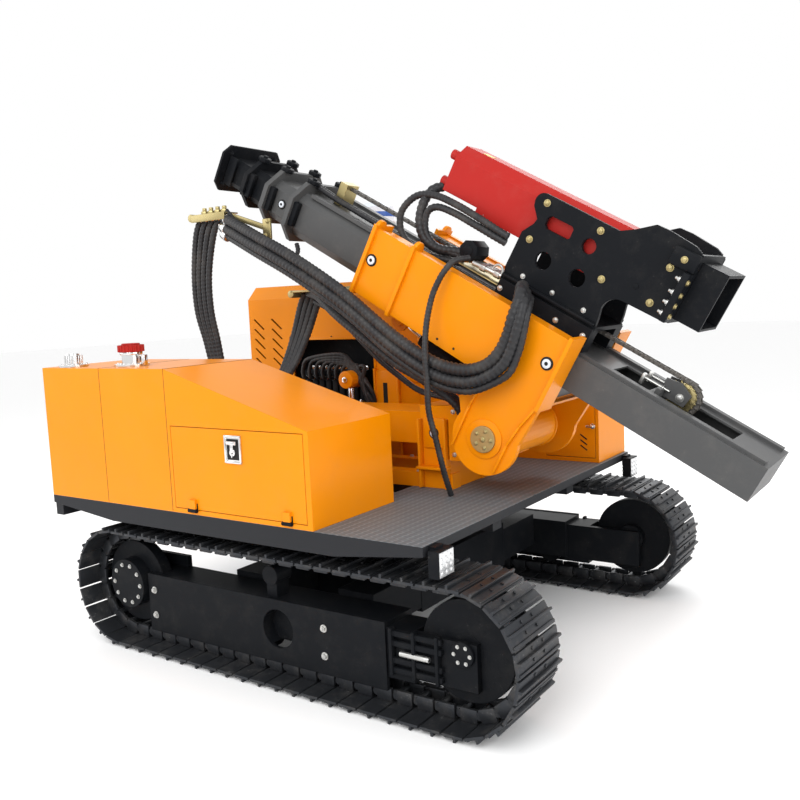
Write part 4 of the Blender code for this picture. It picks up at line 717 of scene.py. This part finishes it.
bar(caps, (*BREATHER, 1.478), (*BREATHER, 1.4915), 0.056, 32, ease=0.002)
bar(shut, (*BREATHER, 1.525), (*BREATHER, 1.534), 0.045, 30, ease=0.004)
block(caps, (-0.842, -0.965, 1.470), (-0.80, -0.935, 1.478), 0.002)
block(caps, (-0.812, -0.962, 1.425), (-0.792, -0.938, 1.478), 0.003)
piece("tank_caps", caps, "upper", chrome)
piece("breather_ribs", shut, "upper", red)
block(lock, (-0.1265, -1.1045, 1.009), (-0.0265, -1.1003, 1.134), 0.0015)
for low, high in (((-0.1265, 1.009), (-0.0265, 1.019)), ((-0.1265, 1.124), (-0.0265, 1.134)),
                  ((-0.1265, 1.009), (-0.1165, 1.134)), ((-0.0365, 1.009), (-0.0265, 1.134))):
    block(lock, (low[0], -1.109, low[1]), (high[0], -1.1035, high[1]), 0.0022)
# A dark sheet of painted shade fills the lock's recess, and a dark disc of painted shade marks the spindle's
# hole.
block(gap, (-0.112, -1.1052, 1.025), (-0.041, -1.1040, 1.118), 0)
bar(lock, (LATCH, -1.112, SPINDLE), (LATCH, -1.104, SPINDLE), 0.017, 28, ease=0.002)
bar(lock, (-0.104, -1.1115, 1.100), (-0.049, -1.1115, 1.100), 0.009, 16, ease=0.003)
bar(lock, (LATCH, -1.1105, 1.100), (LATCH, -1.1105, SPINDLE), 0.009, 16, ease=0.002)
bar(gap, (LATCH, -1.1128, SPINDLE), (LATCH, -1.1115, SPINDLE), 0.006, 14)
for along in (-0.1215, -0.0315):
    for height in (1.014, 1.129):
        bar(lock, (along, -1.1105, height), (along, -1.1085, height), 0.0032, 12)
block(lock, (-0.079, -1.1150, 1.036), (-0.074, -1.1125, 1.056), 0.001)
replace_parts(piece("door_lock", lock, "tool_box_door", chrome), "tool_box_latch")
piece("door_lock_gap_shade", gap, "tool_box_door", painted_shade)
hinges, seams = bmesh.new(), bmesh.new()
for along in (-0.378, 0.195):
    bar(hinges, (along - 0.001, -1.1098, 0.773), (along + 0.051, -1.1098, 0.773), 0.0094, 16)
    block(hinges, (along, -1.1035, 0.779), (along + 0.050, -1.1002, 0.806), 0.001)
piece("door_hinges", hinges, "tool_box_door", black)
# Each seam is a thin strip of painted shade, standing for the crevice between two tanks.
for along in (-0.97, -0.50):
    block(seams, (along - 0.0012, -1.1004, 0.757), (along + 0.0012, -1.0990, 1.4205), 0)
    block(seams, (along - 0.0012, -1.1000, 1.4205), (along + 0.0012, -0.517, 1.4217), 0)
piece("tank_seam_shade", seams, "upper", painted_shade)

# ---- Work lamps: finned housings with a bright reflector and rows of small lamps behind clear plastic.
# One hangs under each front corner of the deck, facing forward.
lens, fins = bmesh.new(), bmesh.new()
for side in (-1, 1):
    low, high = sorted((side * 0.979, side * 1.081))
    block(lens, (0.9495, low, 0.633), (0.9525, high, 0.730), 0.001)
    for row in range(4):
        for column in range(3):
            across, height = low + 0.017 + 0.034 * column, 0.6455 + 0.024 * row
            bar(lens, (0.952, across, height), (0.9555, across, height), 0.0115, 16, end_radius=0.008)
    for row in range(5):
        height = 0.637 + 0.020 * row
        block(fins, (0.896, low + 0.004, height), (0.903, high - 0.004, height + 0.004), 0.001)
    bolt(fins, (0.905, side * 1.062, 0.715), (0, side, 0), 0.007)
glass = coated("lamp_glass", (0.78, 0.79, 0.80), 0.12, metallic=0.4, coat=0.6, dust=0.05, ease=0)
piece("lamp_lenses", lens, "upper", glass)
piece("lamp_fins", fins, "upper", black)

# ---- Engine bay and hood: valve bank, looped hoses, filter, posts, panel holes and the precleaner's trim.
# The bay is open towards the mast, so the hoses loop out of it and down to the deck.
bank, filters, posts, bright = (bmesh.new() for _ in range(4))
for index in range(9):
    along = -0.905 + index * 0.052
    block(bank, (along, 0.372, 1.02), (along + 0.036, 0.392, 1.26), 0.004)
    bar(bright, (along + 0.018, 0.372, 1.235), (along + 0.018, 0.352, 1.235), 0.014, 6, ease=0.001)
    bar(bright, (along + 0.018, 0.372, 1.10), (along + 0.018, 0.352, 1.10), 0.012, 6, ease=0.001)
    bar(bright, (along + 0.018, 0.43, 1.279), (along + 0.018, 0.43, 1.305), 0.013, 6, ease=0.001)
    reach = -0.38 + 0.012 * (index % 3)
    line = [(along + 0.018, 0.352, 1.235), (along + 0.02, 0.325, 1.245), (along + 0.04, 0.300, 1.30),
            (along + 0.10, 0.290, 1.36 - 0.006 * index), (-0.56 + 0.02 * index, 0.285, 1.385 - 0.02 * index),
            (-0.47 + 0.012 * index, 0.285, 1.33 - 0.025 * index), (reach, 0.30, 1.22 - 0.02 * index),
            (reach + 0.01, 0.325, 1.12 - 0.02 * index), (reach + 0.005, 0.33, 0.96), (reach, 0.328, 0.80)]
    hose(f"valve_hose_{index + 1}", line, 0.0125, pitch=0.010, body="upper", sides=2)
for index in range(4):
    along = -0.90 + index * 0.09
    line = [(along + 0.018, 0.352, 1.10), (along + 0.02, 0.315, 1.095), (along + 0.05, 0.295, 1.06),
            (along + 0.07, 0.290, 0.96), (along + 0.05, 0.30, 0.86), (along + 0.04, 0.325, 0.79)]
    hose(f"return_hose_{index + 1}", line, 0.015, pitch=0.010, body="upper", sides=2)
bar(filters, (-0.475, 0.335, 1.24), (-0.475, 0.215, 1.24), 0.052, 32, ease=0.006)
bar(filters, (-0.475, 0.345, 1.24), (-0.475, 0.330, 1.24), 0.030, 24, ease=0.003)
bar(bright, (-0.475, 0.215, 1.24), (-0.475, 0.205, 1.24), 0.020, 6, ease=0.002)
bar(bright, (-0.475, 0.27, 1.19), (-0.475, 0.27, 1.05), 0.018, 20, ease=0.003)
block(posts, (-0.345, 0.336, 0.757), (-0.185, 0.3495, 1.285), 0.003)
block(posts, (-0.352, 0.322, 0.757), (-0.340, 0.3495, 1.30), 0.003)
block(posts, (-0.190, 0.322, 0.757), (-0.178, 0.3495, 1.30), 0.003)
block(posts, (-0.165, 0.341, 1.22), (-0.055, 0.3495, 1.42), 0.003)
# The panel's slot and holes are thin dark strips and discs of painted shade.
openings = bmesh.new()
block(openings, (-0.292, 0.3345, 0.82), (-0.262, 0.3362, 1.215), 0)
for along, height in ((-0.15, 1.24), (-0.07, 1.24), (-0.15, 1.40), (-0.07, 1.40), (-0.11, 1.32)):
    bar(openings, (along, 0.3400, height), (along, 0.3415, height), 0.007, 14)
for along in (-1.00, -0.85, -0.67, -0.50, -0.34):
    bar(openings, (along, 0.348, 1.487), (along, 0.3495, 1.487), 0.006, 14)
for low, high in (((-0.996, 0.80), (-0.981, 1.485)), ((-0.36, 1.30), (-0.345, 1.485)),
                  ((-0.996, 1.470), (-0.345, 1.485))):
    block(posts, (low[0], 0.3455, low[1]), (high[0], 0.3497, high[1]), 0.0015)
piece("valve_bank", bank, "upper", black)
piece("valve_fittings", bright, "upper", chrome)
piece("return_filter", filters, "upper", orange)
piece("hood_posts", posts, "upper", orange)
piece("hood_hole_shade", openings, "upper", painted_shade)
band, intake = bmesh.new(), bmesh.new()
STACK = (-0.585, 0.75)
bar(band, (*STACK, 2.205), (*STACK, 2.235), 0.1262, 48, ease=0.002)
bar(intake, (*STACK, 2.118), (*STACK, 2.132), 0.045, 32, ease=0.004)
bar(intake, (*STACK, 1.811), (*STACK, 1.822), 0.062, 32, ease=0.003)
for x, y in ring(24):
    root = (STACK[0] + 0.070 * x, STACK[1] + 0.070 * y, 2.142)
    bar(intake, root, (STACK[0] + 0.102 * x, STACK[1] + 0.102 * y, 2.172), 0.005, 6)
blue = coated("blue_plastic", (0.03, 0.10, 0.40), 0.3, coat=0.3, dust=0.05, ease=0)
piece("precleaner_band", band, "upper", blue)
piece("precleaner_vanes", intake, "upper", black)

# ---- Far side and rear: the engine door's slots and handle, the radiator grille, the gauge and drain plugs.
# The door and grille let air through to the radiator, so both are slotted; each slot is a thin dark strip of
# painted shade.
slot, louvres, handle, frames, rear_slots, gauge, plugs = (bmesh.new() for _ in range(7))
for row in range(9):
    for along in (-1.02, -0.80):
        height = 1.12 + 0.040 * row
        block(slot, (along, 1.0990, height), (along + 0.16, 1.1006, height + 0.009), 0)
        lip = height + 0.011
        block(louvres, (along - 0.004, 1.0995, lip), (along + 0.164, 1.1080, lip + 0.005), 0.001)
block(handle, (-0.385, 1.1000, 1.16), (-0.345, 1.1060, 1.26), 0.002)
bar(handle, (-0.365, 1.1060, 1.205), (-0.365, 1.1150, 1.205), 0.012, 20, ease=0.002)
block(handle, (-0.375, 1.1110, 1.185), (-0.355, 1.1170, 1.245), 0.002)
block(frames, (-1.3470, 0.44, 0.90), (-1.3425, 1.01, 1.62), 0.002)
for row in range(16):
    block(rear_slots, (-1.3480, 0.475, 0.945 + 0.040 * row), (-1.3465, 0.975, 0.957 + 0.040 * row), 0)
for across, height in ((0.455, 0.915), (0.995, 0.915), (0.455, 1.605), (0.995, 1.605)):
    bolt(plugs, (-1.347, across, height), (-1, 0, 0), 0.008)
for along in (-1.20, -0.74):
    bar(plugs, (along, -0.517, 0.83), (along, -0.500, 0.83), 0.020, 6, ease=0.002)
block(gauge, (-1.4325, -0.86, 0.93), (-1.4300, -0.82, 1.27), 0.001)
for height in (0.945, 1.255):
    bar(gauge, (-1.4300, -0.84, height), (-1.4420, -0.84, height), 0.013, 16, ease=0.002)
bar(gauge, (-1.4400, -0.84, 0.945), (-1.4400, -0.84, 1.255), 0.008, 16)
piece("engine_door_handle", handle, "engine_door", chrome)
piece("engine_door_louvres", louvres, "engine_door", orange)
# The door's and the radiator's slots are dark strips of painted shade.
piece("engine_door_slot_shade", slot, "engine_door", painted_shade)
piece("radiator_slot_shade", rear_slots, "upper", painted_shade)
piece("rear_gauge", gauge, "upper", chrome)
piece("radiator_frame", frames, "upper", orange)
piece("rear_bolts", plugs, "upper", zinc)

# ---- Front cabinet: its door's lock and vent slots.
# The door faces the mast, and the slots lean like those in the hood; they are thin dark strips of painted
# shade.
lock, slot = bmesh.new(), bmesh.new()
bar(lock, (0.838, 0.7098, 0.955), (0.838, 0.699, 0.955), 0.015, 24, ease=0.002)
bar(lock, (0.838, 0.700, 0.955), (0.838, 0.685, 0.955), 0.007, 14, ease=0.001)
block(lock, (0.806, 0.682, 0.949), (0.846, 0.690, 0.961), 0.003)
for index in range(3):
    plank(slot, (0.765, 0.905 - 0.030 * index), (0.800, 0.880 - 0.030 * index), 0.7085, 0.7097, 0.007)
piece("cabinet_lock", lock, "cabinet_door", chrome)
piece("cabinet_slot_shade", slot, "cabinet_door", painted_shade)

# ---- Mast base: pad adjusters and gussets on the collars, the slew ring's bolts and the sliding beam's head.
# The base's two collars guide the beam, and its bottom flanges are bolted to the deck.
gusset, holes, heads, nuts = (bmesh.new() for _ in range(4))
for side in (-1, 1):
    flank(gusset, side, (0.325, 0.1845, 0.955), (0.445, 0.196, 1.105), 0.004)
    adjuster(holes, heads, (0.385, side * 0.196, 1.030), side, 0.9)
    for along in (0.302, 0.452):
        flank(gusset, side, (along, 0.184, 0.757), (along + 0.012, 0.225, 1.10), 0.003)
    flank(gusset, side, (0.296, 0.184, 0.853), (0.470, 0.240, 0.866), 0.003)
    flank(gusset, side, (-0.60, 0.184, 0.853), (-0.52, 0.240, 0.866), 0.003)
    for along in (-0.64, -0.30, 0.0, 0.27):
        bolt(nuts, (along, side * 0.171, 0.8273), (0, 0, 1), 0.010)
piece("base_gussets", gusset, "upper", orange)
# The adjusters' rings and sockets are dark discs of painted shade.
piece("base_hole_shade", holes, "upper", painted_shade)
piece("base_adjusters", heads, "upper", white)
for x, y in ring(28):
    bolt(nuts, (0.325 * x, 0.325 * y, 0.6447), (0, 0, 1), 0.010)
piece("slew_bolts", nuts, "upper", zinc)
sides, pins = bmesh.new(), bmesh.new()
for side in (-1, 1):
    for along in (0.50, 0.60):
        for height in (0.93, 1.14):
            bolt(pins, (along, side * 0.20, height), (0, side, 0), 0.009)
    bolt(pins, (0.53, side * 0.085, 1.225), (0, side, 0), 0.015)
    bar(sides, (0.74, side * 0.200, 1.04), (0.74, side * 0.212, 1.04), 0.118, 40, ease=0.004)
piece("head_bolts", pins, "slide_beam", zinc)
piece("head_rings", sides, "slide_beam", orange)

# ---- Track frames: recoil yokes with guard rails, hub caps and the grease cover.
# The yoke slides in the frame and keeps the idler pushed out against the track.
yokes, nuts = bmesh.new(), bmesh.new()
for side in (-1, 1):
    for height in (0.186, 0.228, 0.300, 0.342):
        flank(yokes, side, (0.64, 0.984, height - 0.013), (0.895, 1.010, height + 0.013), 0.006)
    for along in (0.655, 0.765, 0.875):
        flank(yokes, side, (along - 0.008, 0.984, 0.165), (along + 0.008, 1.018, 0.365), 0.004)
    bar(yokes, (AXLE, side * 0.975, AXLE_HEIGHT), (AXLE, side * 1.004, AXLE_HEIGHT), 0.052, 32, ease=0.006)
    for x, z in ring(6):
        bolt(nuts, (AXLE + 0.036 * x, side * 1.004, AXLE_HEIGHT + 0.036 * z), (0, side, 0), 0.006)
    bar(nuts, (0.70, side * 1.010, 0.264), (0.84, side * 1.010, 0.264), 0.012, 20, ease=0.002)
piece("yoke_rails", yokes, "undercarriage", black)
piece("yoke_bolts", nuts, "undercarriage", zinc)
